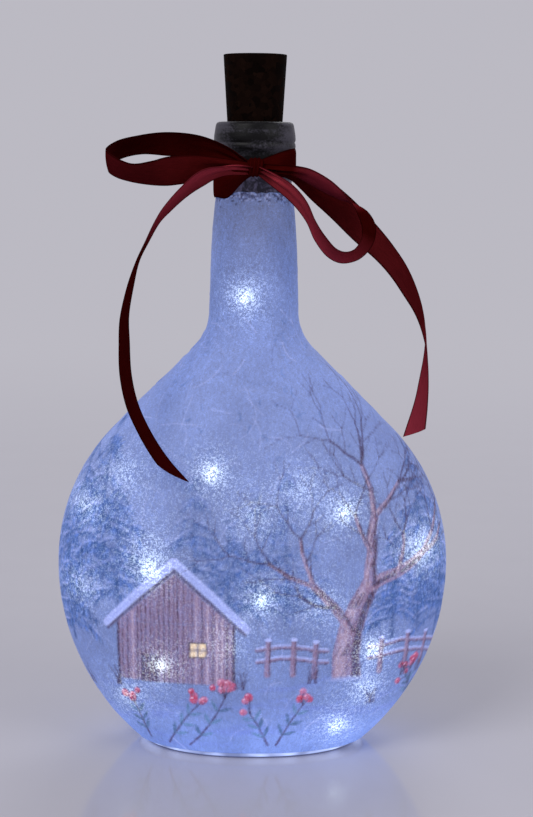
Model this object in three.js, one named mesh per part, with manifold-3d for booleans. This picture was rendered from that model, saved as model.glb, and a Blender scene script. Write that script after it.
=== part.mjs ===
// Flat round bottle lamp: a frosted wine bottle dressed in printed rice paper, with a string of
// small lights inside, a cork stopper that holds the cells and the switch, and a satin bow.
// Millimetres, +Z up. The origin is the centre of the base, and the printed front faces -Y.
import * as THREE from 'three';
import { mergeVertices } from 'three/addons/utils/BufferGeometryUtils.js';
import Module from 'manifold-3d';

const wasm = await Module();
wasm.setup();

// Clearances
const touchGap = 0.3;            // between pieces that touch on the real lamp
const paperGap = 0.3;            // the glue line between the glass and the paper
const seamGap = 0.3;             // between the front and back papers at the sides

// Glass bottle, outside
const bodyHalfWidth = 70.4;
const bodyHalfDepth = 36.4;
const bodyCentreHeight = 67;
const upperArcRadius = 70.4;     // from the widest level up to the shoulder
const lowerArcRadius = 86.4;     // from the widest level down to the heel
const shoulderAngle = 45;        // slope of the straight shoulder, degrees from the vertical
const shoulderFilletRadius = 19.6;
const heelRadius = 7.5;
const neckFootRadius = 15.4;
const neckTopRadius = 14;
const neckTopHeight = 202;
const collarRadius = 13.3;
const collarHeight = 15;         // from the paper's top edge up to the lip ring
const collarStep = 1;            // height of the slope at each end of the collar
const lipRadius = 14.5;
const lipEdgeRadius = 13.1;
const lipHeight = 9.2;
const lipTaperHeight = 5.5;      // the lip draws in over this height, and rounds over in the last part
const lipRoundHeight = 1.8;
const bottleHeight = neckTopHeight + collarHeight + lipHeight;
const bodyRoundness = 2.3;       // exponent of the flat oval section; 2 is a plain ellipse
const sectionSteps = 40;

// Glass bottle, inside
const wallThickness = 2.6;
const neckWallThickness = 4;
const floorThickness = 5;
const footBand = 8;              // width of the flat ring that the bottle stands on
const puntSlope = 1.6;           // the hollow under the base slopes up over this width
const puntDepth = 1.6;

// Rice paper
const paperThickness = 0.35;
const paperFootHeight = 4;

// Cork stopper
const corkTopRadius = 11.2;
const corkBottomRadius = 8.6;
const corkLength = 43.6;
const corkDepthInNeck = 20.2;
const corkFloorThickness = 2.5;
const corkEdgeChamfer = 0.4;
const outletHoleRadius = 1.6;
const bushFlangeRadius = 3;
const bushFlangeThickness = 0.9;
const bushBoreRadius = 0.8;

// Battery tray inside the cork
const cellRadius = 5.8;
const cellHeight = 5.4;
const cellCount = 3;
const cellEdgeRadius = 0.5;
const cellButtonRadius = 4.75;   // the small pole on the cell's underside
const cellGrooveRadius = 5;
const trayWall = 0.8;
const trayFloorThickness = 1.2;
const trayOpeningAngle = 150;    // degrees of the tray's wall left open for the cells
const trayFloorHoleRadius = 1.2;
const capRadius = 8.7;
const capThickness = 1.4;
const capCrown = 0.4;
const capFlatRadius = 6.1;
const slotSideClearance = 0.3;
const contactThickness = 0.4;
const topContactRadius = 5;
const stripWidth = 3;
const boardThickness = 1;
const boardFlat = 5.2;           // from the board's middle to its flat side
const springHeight = 3.2;
const springTopRadius = 4.6;
const springFootRadius = 2.6;
const springWireRadius = 0.25;
const springCurls = 3;
const resistorRadius = 0.8;
const resistorLength = 3.4;

// Switch
const switchLength = 8.6;
const switchWidth = 4.2;
const switchHeight = 3.6;
const switchWall = 0.4;
const knobLength = 2.4;
const knobWidth = 1.8;
const sliderFootLength = 3.6;
const sliderFootHeight = 1.8;
const switchTravel = 2.5;

// Light string
const wireRadius = 0.4;
const wireSides = 6;
const lightRadius = 1.7;
const lightShoulderRadius = 1.28;
const lightShoulderLength = 2.5;
const lightLength = 4.2;
const lightTangentShare = 0.03;  // of the way to the next light, where the wire's direction is taken
const straightThroughLight = 6.3;
const lightBoreRadius = 0.7;
const lightSides = 7;
const stepsBetweenLights = 7;
const wallStandoff = 2.3;        // from the inside of the glass to the middle of the wire
const leadFootHeight = 172;      // where the free lead in the neck meets the coil

// Ribbon
const ribbonWidth = 10;
const ribbonThickness = 0.5;
const bandInnerRadius = lipRadius + 2 * touchGap;
const bandWidth = 9;
const bandAboveNeck = 7.5;       // from the paper's top edge up to the middle of the band
const bandTilt = 16;             // degrees, lower on the left
const bandSteps = 32;
const bandMiddle = neckTopHeight + bandAboveNeck;
const knotHalfSize = new THREE.Vector3(0.52, 0.29, 0.6).multiplyScalar(ribbonWidth);
const knotToRight = 2.5;
const knotCentre = new THREE.Vector3(
  knotToRight,
  -(bandInnerRadius + ribbonThickness + touchGap + knotHalfSize.y),
  bandMiddle + touchGap,
);
const knotSquareness = 3;
const knotLean = 75;             // degrees from the knot's waist to its first and last rings
const knotRings = 7;
const knotSides = 14;
const stripSteps = 26;

const radians = THREE.MathUtils.degToRad;
const zAxis = new THREE.Vector3(0, 0, 1);

// Closed bodies from rings of points

function signedVolume(points, triangles) {
  let volume = 0;
  for (const [a, b, c] of triangles) {
    volume += points[a].dot(points[b].clone().cross(points[c])) / 6;
  }
  return volume;
}

function bodyFrom(points, triangles) {
  const outward = signedVolume(points, triangles) > 0;
  const index = triangles.flatMap(([a, b, c]) => (outward ? [a, b, c] : [a, c, b]));
  const geometry = new THREE.BufferGeometry();
  geometry.setAttribute('position', new THREE.Float32BufferAttribute(points.flatMap((p) => p.toArray()), 3));
  geometry.setIndex(index);
  return geometry;
}

function quad(triangles, a, b, c, d) {
  triangles.push([a, b, c], [a, c, d]);
}

function sideFaces(triangles, ringCount, size, wraps) {
  const last = wraps ? ringCount : ringCount - 1;
  for (let r = 0; r < last; r++) {
    const next = (r + 1) % ringCount;
    for (let i = 0; i < size; i++) {
      const j = (i + 1) % size;
      quad(triangles, r * size + i, r * size + j, next * size + j, next * size + i);
    }
  }
}

// Rings joined into a body whose ends are closed by fans round their middles.
function loft(rings) {
  const size = rings[0].length;
  const points = rings.flat();
  const triangles = [];
  sideFaces(triangles, rings.length, size, false);
  for (const [ring, flip] of [[0, true], [rings.length - 1, false]]) {
    const middle = points.length;
    points.push(rings[ring].reduce((sum, p) => sum.add(p), new THREE.Vector3()).divideScalar(size));
    for (let i = 0; i < size; i++) {
      const a = ring * size + i;
      const b = ring * size + ((i + 1) % size);
      triangles.push(flip ? [middle, b, a] : [middle, a, b]);
    }
  }
  return bodyFrom(points, triangles);
}

// Rings joined end to end, as in a hoop.
function hoop(rings) {
  const triangles = [];
  sideFaces(triangles, rings.length, rings[0].length, true);
  return bodyFrom(rings.flat(), triangles);
}

// Rings that each run out along one face of a sheet and back along the other.
function sheet(rings) {
  const size = rings[0].length;
  const triangles = [];
  sideFaces(triangles, rings.length, size, false);
  for (const [ring, flip] of [[0, true], [rings.length - 1, false]]) {
    const start = ring * size;
    for (let i = 0; i < size / 2 - 1; i++) {
      const corners = [start + i, start + i + 1, start + size - 2 - i, start + size - 1 - i];
      quad(triangles, ...(flip ? corners.reverse() : corners));
    }
  }
  return bodyFrom(rings.flat(), triangles);
}

// A turned piece about the Z axis from [radius, height] corners.
function turned(profile, segments) {
  const geometry = new THREE.LatheGeometry(profile.map(([r, z]) => new THREE.Vector2(r, z)), segments);
  return geometry.rotateX(Math.PI / 2);
}

function closedProfile(corners) {
  return [...corners, corners[0]];
}

function toManifold(geometry) {
  const bare = geometry.clone();
  bare.deleteAttribute('normal');
  bare.deleteAttribute('uv');
  const merged = mergeVertices(bare);
  const vertProperties = new Float32Array(merged.attributes.position.array);
  const triVerts = new Uint32Array(merged.index.array);
  return new wasm.Manifold(new wasm.Mesh({ numProp: 3, vertProperties, triVerts }));
}

function fromManifold(solid) {
  const mesh = solid.getMesh();
  const geometry = new THREE.BufferGeometry();
  geometry.setAttribute('position', new THREE.Float32BufferAttribute(mesh.vertProperties, 3));
  geometry.setIndex(Array.from(mesh.triVerts));
  return geometry;
}

function cut(geometry, ...tools) {
  return fromManifold(tools.reduce((solid, tool) => solid.subtract(toManifold(tool)), toManifold(geometry)));
}

function joined(geometry, ...others) {
  return fromManifold(others.reduce((solid, other) => solid.add(toManifold(other)), toManifold(geometry)));
}

// A box that stands on a height.
function block(length, width, height, footHeight) {
  return new THREE.BoxGeometry(length, width, height).translate(0, 0, footHeight + height / 2);
}

// A tube of even section through a list of points.
function tube(points, radius, sides) {
  const rings = [];
  let side = Math.abs(points[1].clone().sub(points[0]).normalize().z) > 0.9
    ? new THREE.Vector3(1, 0, 0) : zAxis.clone();
  points.forEach((point, i) => {
    const before = points[Math.max(i - 1, 0)];
    const after = points[Math.min(i + 1, points.length - 1)];
    const along = after.clone().sub(before).normalize();
    side = side.clone().addScaledVector(along, -side.dot(along)).normalize();
    const across = along.clone().cross(side);
    rings.push(Array.from({ length: sides }, (_, k) => {
      const turn = (2 * Math.PI * k) / sides;
      return point.clone().addScaledVector(side, radius * Math.cos(turn))
        .addScaledVector(across, radius * Math.sin(turn));
    }));
  });
  return loft(rings);
}

const lamp = new THREE.Group();

function add(name, geometry, material) {
  const mesh = new THREE.Mesh(geometry, new THREE.MeshStandardMaterial(material));
  mesh.name = name;
  lamp.add(mesh);
  return mesh;
}

const glassFinish = { color: 0x8f96a6, roughness: 0.55, metalness: 0 };
const paperFinish = { color: 0xb4c0e6, roughness: 0.8, metalness: 0 };
const ribbonFinish = { color: 0x7c1418, roughness: 0.4, metalness: 0 };
const corkFinish = { color: 0x241a16, roughness: 0.85, metalness: 0 };
const trayFinish = { color: 0x2b2b2d, roughness: 0.6, metalness: 0 };
const steelFinish = { color: 0xb9bcc0, roughness: 0.3, metalness: 1 };
const brassFinish = { color: 0xc9a45a, roughness: 0.35, metalness: 1 };
const copperFinish = { color: 0xb87a4b, roughness: 0.35, metalness: 1 };
const boardFinish = { color: 0x1f5b37, roughness: 0.5, metalness: 0 };
const lightFinish = { color: 0xe8f0ff, roughness: 0.15, metalness: 0 };

// Half width of the bottle at a height, on a skin that stands off the glass by an offset.
// It is a heel arc, a lower and an upper side arc, a straight shoulder, a fillet and the neck.
function halfWidth(height, offset) {
  const upperCentre = bodyHalfWidth - upperArcRadius;
  const lowerCentre = bodyHalfWidth - lowerArcRadius;
  const heelCentre = lowerCentre
    + Math.sqrt((lowerArcRadius - heelRadius) ** 2 - (bodyCentreHeight - heelRadius) ** 2);
  const heelDrop = (bodyCentreHeight - heelRadius) / (lowerArcRadius - heelRadius);
  const heelTop = heelRadius - (heelRadius + offset) * heelDrop;
  const across = Math.cos(radians(shoulderAngle));
  const up = Math.sin(radians(shoulderAngle));
  const shoulderStart = bodyCentreHeight + (upperArcRadius + offset) * up;
  const shoulderX = upperCentre + (upperArcRadius + offset) * across;
  const filletX = neckFootRadius + shoulderFilletRadius;
  const filletHeight = bodyCentreHeight + upperArcRadius * up
    + (shoulderFilletRadius - (filletX - upperCentre - upperArcRadius * across) * across) / up;
  const filletRadius = shoulderFilletRadius - offset;
  const shoulderEnd = filletHeight - filletRadius * up;
  if (height < heelTop) {
    return heelCentre + Math.sqrt(Math.max((heelRadius + offset) ** 2 - (height - heelRadius) ** 2, 0));
  }
  if (height < bodyCentreHeight) {
    return lowerCentre + Math.sqrt((lowerArcRadius + offset) ** 2 - (height - bodyCentreHeight) ** 2);
  }
  if (height < shoulderStart) {
    return upperCentre + Math.sqrt((upperArcRadius + offset) ** 2 - (height - bodyCentreHeight) ** 2);
  }
  if (height < shoulderEnd) {
    return shoulderX - ((height - shoulderStart) * up) / across;
  }
  if (height < filletHeight) {
    return filletX - Math.sqrt(filletRadius ** 2 - (height - filletHeight) ** 2);
  }
  const share = (height - filletHeight) / (neckTopHeight - filletHeight);
  return neckFootRadius + (neckTopRadius - neckFootRadius) * share + offset;
}

// Half depth follows the half width: round in the neck, and flat in the body.
function halfDepth(height, offset) {
  const width = halfWidth(height, 0);
  if (width <= neckFootRadius) {
    return width + offset;
  }
  const flatness = (bodyHalfDepth - neckFootRadius) / (bodyHalfWidth - neckFootRadius);
  return neckFootRadius + (width - neckFootRadius) * flatness + offset;
}

function roundnessAt(height) {
  const share = (halfWidth(height, 0) - neckFootRadius) / (bodyHalfWidth - neckFootRadius);
  return 2 + (bodyRoundness - 2) * THREE.MathUtils.clamp(share, 0, 1);
}

function ovalPoint(width, depth, roundness, turn, height) {
  const power = 2 / roundness;
  const c = Math.cos(turn);
  const s = Math.sin(turn);
  return new THREE.Vector3(
    width * Math.sign(c) * Math.abs(c) ** power,
    depth * Math.sign(s) * Math.abs(s) ** power,
    height,
  );
}

function ovalRing(width, depth, roundness, height) {
  return Array.from({ length: sectionSteps }, (_, i) => (
    ovalPoint(width, depth, roundness, (2 * Math.PI * i) / sectionSteps, height)));
}

function skinRing(height, offset) {
  return ovalRing(halfWidth(height, offset), halfDepth(height, offset), roundnessAt(height), height);
}

// Heights of the rings of a skin, as shares of the paper's height, closer where the outline turns faster.
const skinHeights = [
  0, 0.025, 0.06, 0.106, 0.156, 0.212, 0.268, 0.318, 0.369, 0.419, 0.47,
  0.515, 0.556, 0.596, 0.636, 0.672, 0.702, 0.727, 0.753, 0.783, 0.889,
].map((share) => paperFootHeight + share * (neckTopHeight - paperFootHeight));

const corkTopHeight = bottleHeight - corkDepthInNeck + corkLength;
const corkBottomHeight = corkTopHeight - corkLength;

function corkRadius(height) {
  return corkBottomRadius
    + ((corkTopRadius - corkBottomRadius) * (height - corkBottomHeight)) / corkLength;
}

const boreRadius = corkRadius(bottleHeight) + touchGap;

// Inside of the glass: the body's skin moved in by the wall, closing to the bore in the neck.
function insideHalfWidth(height) {
  const share = THREE.MathUtils.clamp((height - bodyCentreHeight) / (neckTopHeight - bodyCentreHeight), 0, 1);
  const neckBore = Math.max(boreRadius, neckFootRadius - neckWallThickness) + (1 - share) * wallThickness;
  const wall = halfWidth(height, -wallThickness);
  return halfWidth(height, 0) < neckFootRadius + neckWallThickness ? Math.min(wall, neckBore) : wall;
}

function insideHalfDepth(height) {
  return Math.min(insideHalfWidth(height), halfDepth(height, -wallThickness));
}

function buildBottle() {
  const footWidth = halfWidth(0, 0);
  const footDepth = halfDepth(0, 0);
  const foot = roundnessAt(0);
  const lipFoot = bottleHeight - lipHeight;
  const outer = [
    ovalRing(footWidth - footBand - puntSlope, footDepth - footBand - puntSlope, foot, puntDepth),
    ovalRing(footWidth - footBand, footDepth - footBand, foot, 0),
    ovalRing(footWidth, footDepth, foot, 0),
    skinRing(paperFootHeight / 3, 0),
    ...skinHeights.map((height) => skinRing(height, 0)),
    skinRing(neckTopHeight, 0),
    ...[
      [collarRadius, neckTopHeight + collarStep],
      [collarRadius, lipFoot - collarStep],
      [lipRadius, lipFoot],
      [lipRadius, bottleHeight - lipTaperHeight],
      [(lipRadius + lipEdgeRadius) / 2, bottleHeight - lipRoundHeight],
      [lipEdgeRadius, bottleHeight],
    ].map(([radius, height]) => ovalRing(radius, radius, 2, height)),
  ];
  const innerHeights = skinHeights.filter((height) => height > floorThickness + 2).reverse();
  const inner = [
    ovalRing(boreRadius, boreRadius, 2, bottleHeight),
    ovalRing(boreRadius, boreRadius, 2, neckTopHeight),
    ...[...innerHeights, floorThickness].map((height) => (
      ovalRing(insideHalfWidth(height), insideHalfDepth(height), roundnessAt(height), height))),
  ];
  add('glass_bottle', loft([...outer, ...inner]), glassFinish);
}

// Each paper wraps half of the bottle; the two meet along the sides.
function buildPapers() {
  const half = sectionSteps / 2;
  for (const [name, start, side] of [['front_paper', half, -1], ['back_paper', 0, 1]]) {
    const rings = [...skinHeights, neckTopHeight].map((height) => {
      const outer = skinRing(height, paperGap + paperThickness);
      const inner = skinRing(height, paperGap);
      const order = Array.from({ length: half + 1 }, (_, i) => (start + i) % sectionSteps);
      return [...order.map((i) => outer[i]), ...order.reverse().map((i) => inner[i])];
    });
    add(name, sheet(rings).translate(0, (side * seamGap) / 2, 0), paperFinish);
  }
}

const cavityRadius = cellRadius + touchGap + trayWall + touchGap;
const capFootHeight = corkTopHeight - capThickness;
const switchTop = capFootHeight - touchGap;
const boardTop = switchTop - switchHeight - touchGap;
const contactTop = boardTop - boardThickness - touchGap;
const cellsTop = contactTop - contactThickness - touchGap;
const cellsFoot = cellsTop - cellCount * cellHeight - (cellCount - 1) * touchGap;
const springFoot = cellsFoot - touchGap - springHeight;
const trayFloorTop = springFoot - touchGap;
const trayFoot = trayFloorTop - trayFloorThickness;
const trayInnerRadius = cellRadius + touchGap;
const trayOuterRadius = trayInnerRadius + trayWall;
const cavityFloor = corkBottomHeight + corkFloorThickness;
const bushFoot = corkBottomHeight - touchGap - bushFlangeThickness;

function buildCork() {
  const seatRadius = capRadius + touchGap;
  const shell = turned(closedProfile([
    [outletHoleRadius, corkBottomHeight],
    [corkBottomRadius - corkEdgeChamfer, corkBottomHeight],
    [corkRadius(corkBottomHeight + corkEdgeChamfer), corkBottomHeight + corkEdgeChamfer],
    [corkRadius(corkTopHeight - corkEdgeChamfer), corkTopHeight - corkEdgeChamfer],
    [corkTopRadius - corkEdgeChamfer, corkTopHeight],
    [seatRadius, corkTopHeight],
    [seatRadius, capFootHeight - touchGap],
    [cavityRadius, capFootHeight - touchGap],
    [cavityRadius, cavityFloor],
    [outletHoleRadius, cavityFloor],
  ]), 32);
  add('cork_shell', shell, corkFinish);
  const bodyRadius = outletHoleRadius - touchGap;
  const bush = turned(closedProfile([
    [bushBoreRadius, bushFoot],
    [bushFlangeRadius, bushFoot],
    [bushFlangeRadius, bushFoot + bushFlangeThickness],
    [bodyRadius, bushFoot + bushFlangeThickness],
    [bodyRadius, cavityFloor + touchGap],
    [bushBoreRadius, cavityFloor + touchGap],
  ]), 16);
  add('wire_outlet_bush', bush, trayFinish);
}

function buildTray() {
  const open = radians(trayOpeningAngle);
  const from = -Math.PI / 2 + open / 2;
  const to = from + 2 * Math.PI - open;
  const wall = new THREE.Shape();
  wall.absarc(0, 0, trayOuterRadius, from, to, false);
  wall.absarc(0, 0, trayInnerRadius, to, from, true);
  const wallBody = new THREE.ExtrudeGeometry(wall, {
    depth: capFootHeight - touchGap - trayFoot, bevelEnabled: false, curveSegments: 16,
  }).translate(0, 0, trayFoot);
  const floorBody = turned([
    [0, trayFoot], [trayOuterRadius, trayFoot], [trayOuterRadius, trayFloorTop], [0, trayFloorTop],
  ], 28);
  const hole = turned([
    [0, trayFoot - 1], [trayFloorHoleRadius, trayFoot - 1],
    [trayFloorHoleRadius, trayFloorTop + 1], [0, trayFloorTop + 1],
  ], 12);
  add('battery_tray', cut(joined(wallBody, floorBody), hole), trayFinish);

  const slotLength = knobLength + switchTravel + 2 * slotSideClearance;
  const slotWidth = knobWidth + 2 * slotSideClearance;
  const capBody = turned([
    [0, capFootHeight], [capRadius, capFootHeight], [capRadius, corkTopHeight - capCrown / 2],
    [capFlatRadius, corkTopHeight + capCrown / 2], [0, corkTopHeight + capCrown],
  ], 32);
  const slot = block(slotLength, slotWidth, 3 * capThickness, capFootHeight - capThickness);
  add('tray_cap', cut(capBody, slot), corkFinish);

  const shape = new THREE.Shape();
  const flatTurn = Math.acos(boardFlat / cellRadius);
  shape.absarc(0, 0, cellRadius, -Math.PI / 2 + flatTurn, (3 * Math.PI) / 2 - flatTurn, false);
  const board = new THREE.ExtrudeGeometry(shape, {
    depth: boardThickness, bevelEnabled: false, curveSegments: 20,
  }).translate(0, 0, boardTop - boardThickness);
  add('circuit_board', board, boardFinish);

  const resistor = new THREE.CapsuleGeometry(resistorRadius, resistorLength - 2 * resistorRadius, 3, 10)
    .rotateZ(Math.PI / 2)
    .translate(0, switchWidth / 2 + resistorRadius + 2 * touchGap, boardTop + touchGap + resistorRadius);
  add('resistor', resistor, { color: 0xc8b68a, roughness: 0.5, metalness: 0 });
}

function buildCells() {
  for (let i = 0; i < cellCount; i++) {
    const top = cellsTop - i * (cellHeight + touchGap);
    const foot = top - cellHeight;
    const canEdge = cellRadius - cellEdgeRadius;
    const cell = turned([
      [0, foot], [cellButtonRadius, foot], [cellGrooveRadius, foot + cellEdgeRadius],
      [canEdge, foot + cellEdgeRadius], [cellRadius, foot + 2 * cellEdgeRadius],
      [cellRadius, top - cellEdgeRadius], [canEdge, top], [0, top],
    ], 24);
    add(`cell_${i + 1}`, cell, steelFinish);
  }
  const contact = turned([
    [0, contactTop - contactThickness], [topContactRadius, contactTop - contactThickness],
    [topContactRadius, contactTop], [0, contactTop],
  ], 20);
  add('top_contact', contact, brassFinish);
  const stripFoot = trayFloorTop + touchGap;
  const strip = block(stripWidth, contactThickness, boardTop - stripFoot, stripFoot)
    .translate(0, -(cellRadius + touchGap + contactThickness / 2), 0);
  add('contact_strip', strip, brassFinish);
}

function buildSpring() {
  const steps = 8 * springCurls;
  const climb = springHeight - 2 * springWireRadius;
  const points = Array.from({ length: steps + 1 }, (_, i) => {
    const share = i / steps;
    const radius = springFootRadius + (springTopRadius - springFootRadius) * share;
    const turn = 2 * Math.PI * springCurls * share;
    return new THREE.Vector3(
      radius * Math.cos(turn),
      radius * Math.sin(turn),
      springFoot + springWireRadius + climb * share,
    );
  });
  add('contact_spring', tube(points, springWireRadius, 5), steelFinish);
}

// The switch stands under the cap, and its knob reaches up through the cap's slot.
function buildSwitch() {
  const foot = switchTop - switchHeight;
  const can = block(switchLength, switchWidth, switchHeight, foot);
  const hollow = block(
    switchLength - 2 * switchWall, switchWidth - 2 * switchWall, switchHeight, foot + switchWall,
  );
  add('switch_frame', cut(can, hollow), steelFinish);
  const onPlace = switchTravel / 2;
  const sliderFoot = foot + switchWall + touchGap;
  const carriage = block(
    sliderFootLength, switchWidth - 2 * switchWall - 2 * touchGap, sliderFootHeight, sliderFoot,
  );
  const knob = block(knobLength, knobWidth, corkTopHeight + capCrown - sliderFoot, sliderFoot);
  add('switch_slider', joined(carriage, knob).translate(onPlace, 0, 0), trayFinish);
}

// Where the wire lies on the inside of the glass at a turn and a height.
function wallPoint(turnDegrees, height) {
  return ovalPoint(
    insideHalfWidth(height) - wallStandoff,
    insideHalfDepth(height) - wallStandoff,
    roundnessAt(height),
    radians(turnDegrees),
    height,
  );
}

// The lights' places along the wire, from the neck down: [turn in degrees, height].
// The wire goes round the wall clockwise seen from above, and each light sits on it.
const lightPlaces = [
  [-108, 165], [-103, 105], [-218, 96], [-285, 91], [-421, 91], [-528, 87], [-630, 80],
  [-739, 75], [-840, 70], [-956, 68], [-1062, 66], [-1168, 61], [-1268, 55], [-1372, 47],
  [-1487, 40], [-1560, 35], [-1702, 31], [-1841, 24], [-1992, 14], [-2206, 10],
];

const coilStart = [-100, leadFootHeight - touchGap];

// The wire's route in turn and height, with a short straight length through each light.
function buildLightString() {
  const guide = new THREE.CatmullRomCurve3(
    [coilStart, ...lightPlaces].map(([turn, height]) => new THREE.Vector3(turn, height, 0)),
    false,
    'centripetal',
  );
  const spans = lightPlaces.length;
  const onWall = (share) => {
    const p = guide.getPoint(THREE.MathUtils.clamp(share, 0, 1));
    return wallPoint(p.x, p.y);
  };
  const start = onWall(0);
  const points = [start, start.clone().addScaledVector(zAxis, -2 * wireRadius)];
  const lights = [];
  for (let k = 1; k <= spans; k++) {
    const here = onWall(k / spans);
    const ahead = k < spans ? onWall((k + lightTangentShare) / spans) : here;
    const behind = onWall((k - lightTangentShare) / spans);
    const along = ahead.clone().sub(behind).normalize();
    const near = here.clone().addScaledVector(along, -straightThroughLight / 2);
    const far = here.clone().addScaledVector(along, straightThroughLight / 2);
    const first = (k - 1) / spans;
    for (let j = 1; j < stepsBetweenLights; j++) {
      points.push(onWall(first + (j / stepsBetweenLights) / spans));
    }
    points.push(near, far);
    lights.push({ place: here, along });
  }
  add('wire_coil', tube(points, wireRadius, wireSides), copperFinish);
  lights.forEach(({ place, along }, i) => {
    const light = add(`light_${String(i + 1).padStart(2, '0')}`, turned(closedProfile([
      [lightBoreRadius, -lightLength / 2],
      [lightShoulderRadius, -lightShoulderLength / 2],
      [lightRadius, 0],
      [lightShoulderRadius, lightShoulderLength / 2],
      [lightBoreRadius, lightLength / 2],
    ]), lightSides), lightFinish);
    light.position.copy(place);
    light.quaternion.setFromUnitVectors(zAxis, along);
  });
  return points;
}

// The lead hangs from the bush through the neck, and the pigtail joins the bush to the tray.
function buildLead(coilTop) {
  const top = bushFoot - touchGap;
  const route = new THREE.CatmullRomCurve3([
    new THREE.Vector3(0, 0, top),
    new THREE.Vector3(0, 0, top - 4),
    new THREE.Vector3(1.2, 1, top - 12),
    new THREE.Vector3(0.6, -3, top - 20),
    new THREE.Vector3(coilTop.x, coilTop.y + 1.2, leadFootHeight + 6),
    new THREE.Vector3(coilTop.x, coilTop.y, leadFootHeight + 2 * wireRadius),
    new THREE.Vector3(coilTop.x, coilTop.y, leadFootHeight),
  ]);
  add('wire_lead', tube(route.getPoints(20), wireRadius, 8), copperFinish);

  const low = cavityFloor + 2 * touchGap;
  const high = trayFoot - touchGap;
  const slack = new THREE.CatmullRomCurve3([
    new THREE.Vector3(0, 0, low),
    new THREE.Vector3(0, 0, low + 1),
    new THREE.Vector3(2.4, 0.8, low + 0.35 * (high - low)),
    new THREE.Vector3(-2, -1.2, low + 0.65 * (high - low)),
    new THREE.Vector3(0, 0, high - 1),
    new THREE.Vector3(0, 0, high),
  ]);
  add('pigtail', tube(slack.getPoints(14), wireRadius, 8), copperFinish);
}

// A flat ribbon through stations [right, back, up, width, lie of the width as x, y, z].
// Places are counted from the middle of the knot, and places and widths are in ribbon widths.
function ribbon(name, stations) {
  const path = new THREE.CatmullRomCurve3(
    stations.map(([x, y, z]) => new THREE.Vector3(x, y, z).multiplyScalar(ribbonWidth).add(knotCentre)),
    false,
    'centripetal',
  );
  const rings = Array.from({ length: stripSteps + 1 }, (_, i) => {
    const share = i / stripSteps;
    const along = path.getTangent(share);
    const place = share * (stations.length - 1);
    const low = Math.min(Math.floor(place), stations.length - 2);
    const mix = place - low;
    const width = ribbonWidth * THREE.MathUtils.lerp(stations[low][3], stations[low + 1][3], mix);
    const across = new THREE.Vector3(...stations[low].slice(4)).normalize()
      .lerp(new THREE.Vector3(...stations[low + 1].slice(4)).normalize(), mix);
    across.addScaledVector(along, -across.dot(along)).normalize();
    const through = along.clone().cross(across);
    return [[1, 1], [-1, 1], [-1, -1], [1, -1]].map(([a, b]) => path.getPoint(share)
      .addScaledVector(across, (a * width) / 2)
      .addScaledVector(through, (b * ribbonThickness) / 2));
  });
  add(name, loft(rings), ribbonFinish);
}

function buildBand() {
  const rise = Math.tan(radians(bandTilt)) * bandInnerRadius;
  const rings = Array.from({ length: bandSteps }, (_, i) => {
    const turn = (2 * Math.PI * i) / bandSteps;
    const middle = bandMiddle + rise * Math.cos(turn);
    return [[0, -1], [1, -1], [1, 1], [0, 1]].map(([out, up]) => {
      const radius = bandInnerRadius + out * ribbonThickness;
      return new THREE.Vector3(
        radius * Math.cos(turn),
        radius * Math.sin(turn),
        middle + (up * bandWidth) / 2,
      );
    });
  });
  add('neck_band', hoop(rings), ribbonFinish);
}

function buildKnot() {
  const power = 2 / knotSquareness;
  const curve = (value) => Math.sign(value) * Math.abs(value) ** power;
  const rings = Array.from({ length: knotRings }, (_, r) => {
    const lean = radians(knotLean * ((2 * r) / (knotRings - 1) - 1));
    return Array.from({ length: knotSides }, (_, i) => {
      const turn = (2 * Math.PI * i) / knotSides;
      return new THREE.Vector3(
        knotHalfSize.x * curve(Math.cos(lean)) * curve(Math.cos(turn)),
        knotHalfSize.y * curve(Math.cos(lean)) * curve(Math.sin(turn)),
        knotHalfSize.z * curve(Math.sin(lean)),
      ).add(knotCentre);
    });
  });
  add('bow_knot', loft(rings), ribbonFinish);
}

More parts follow.
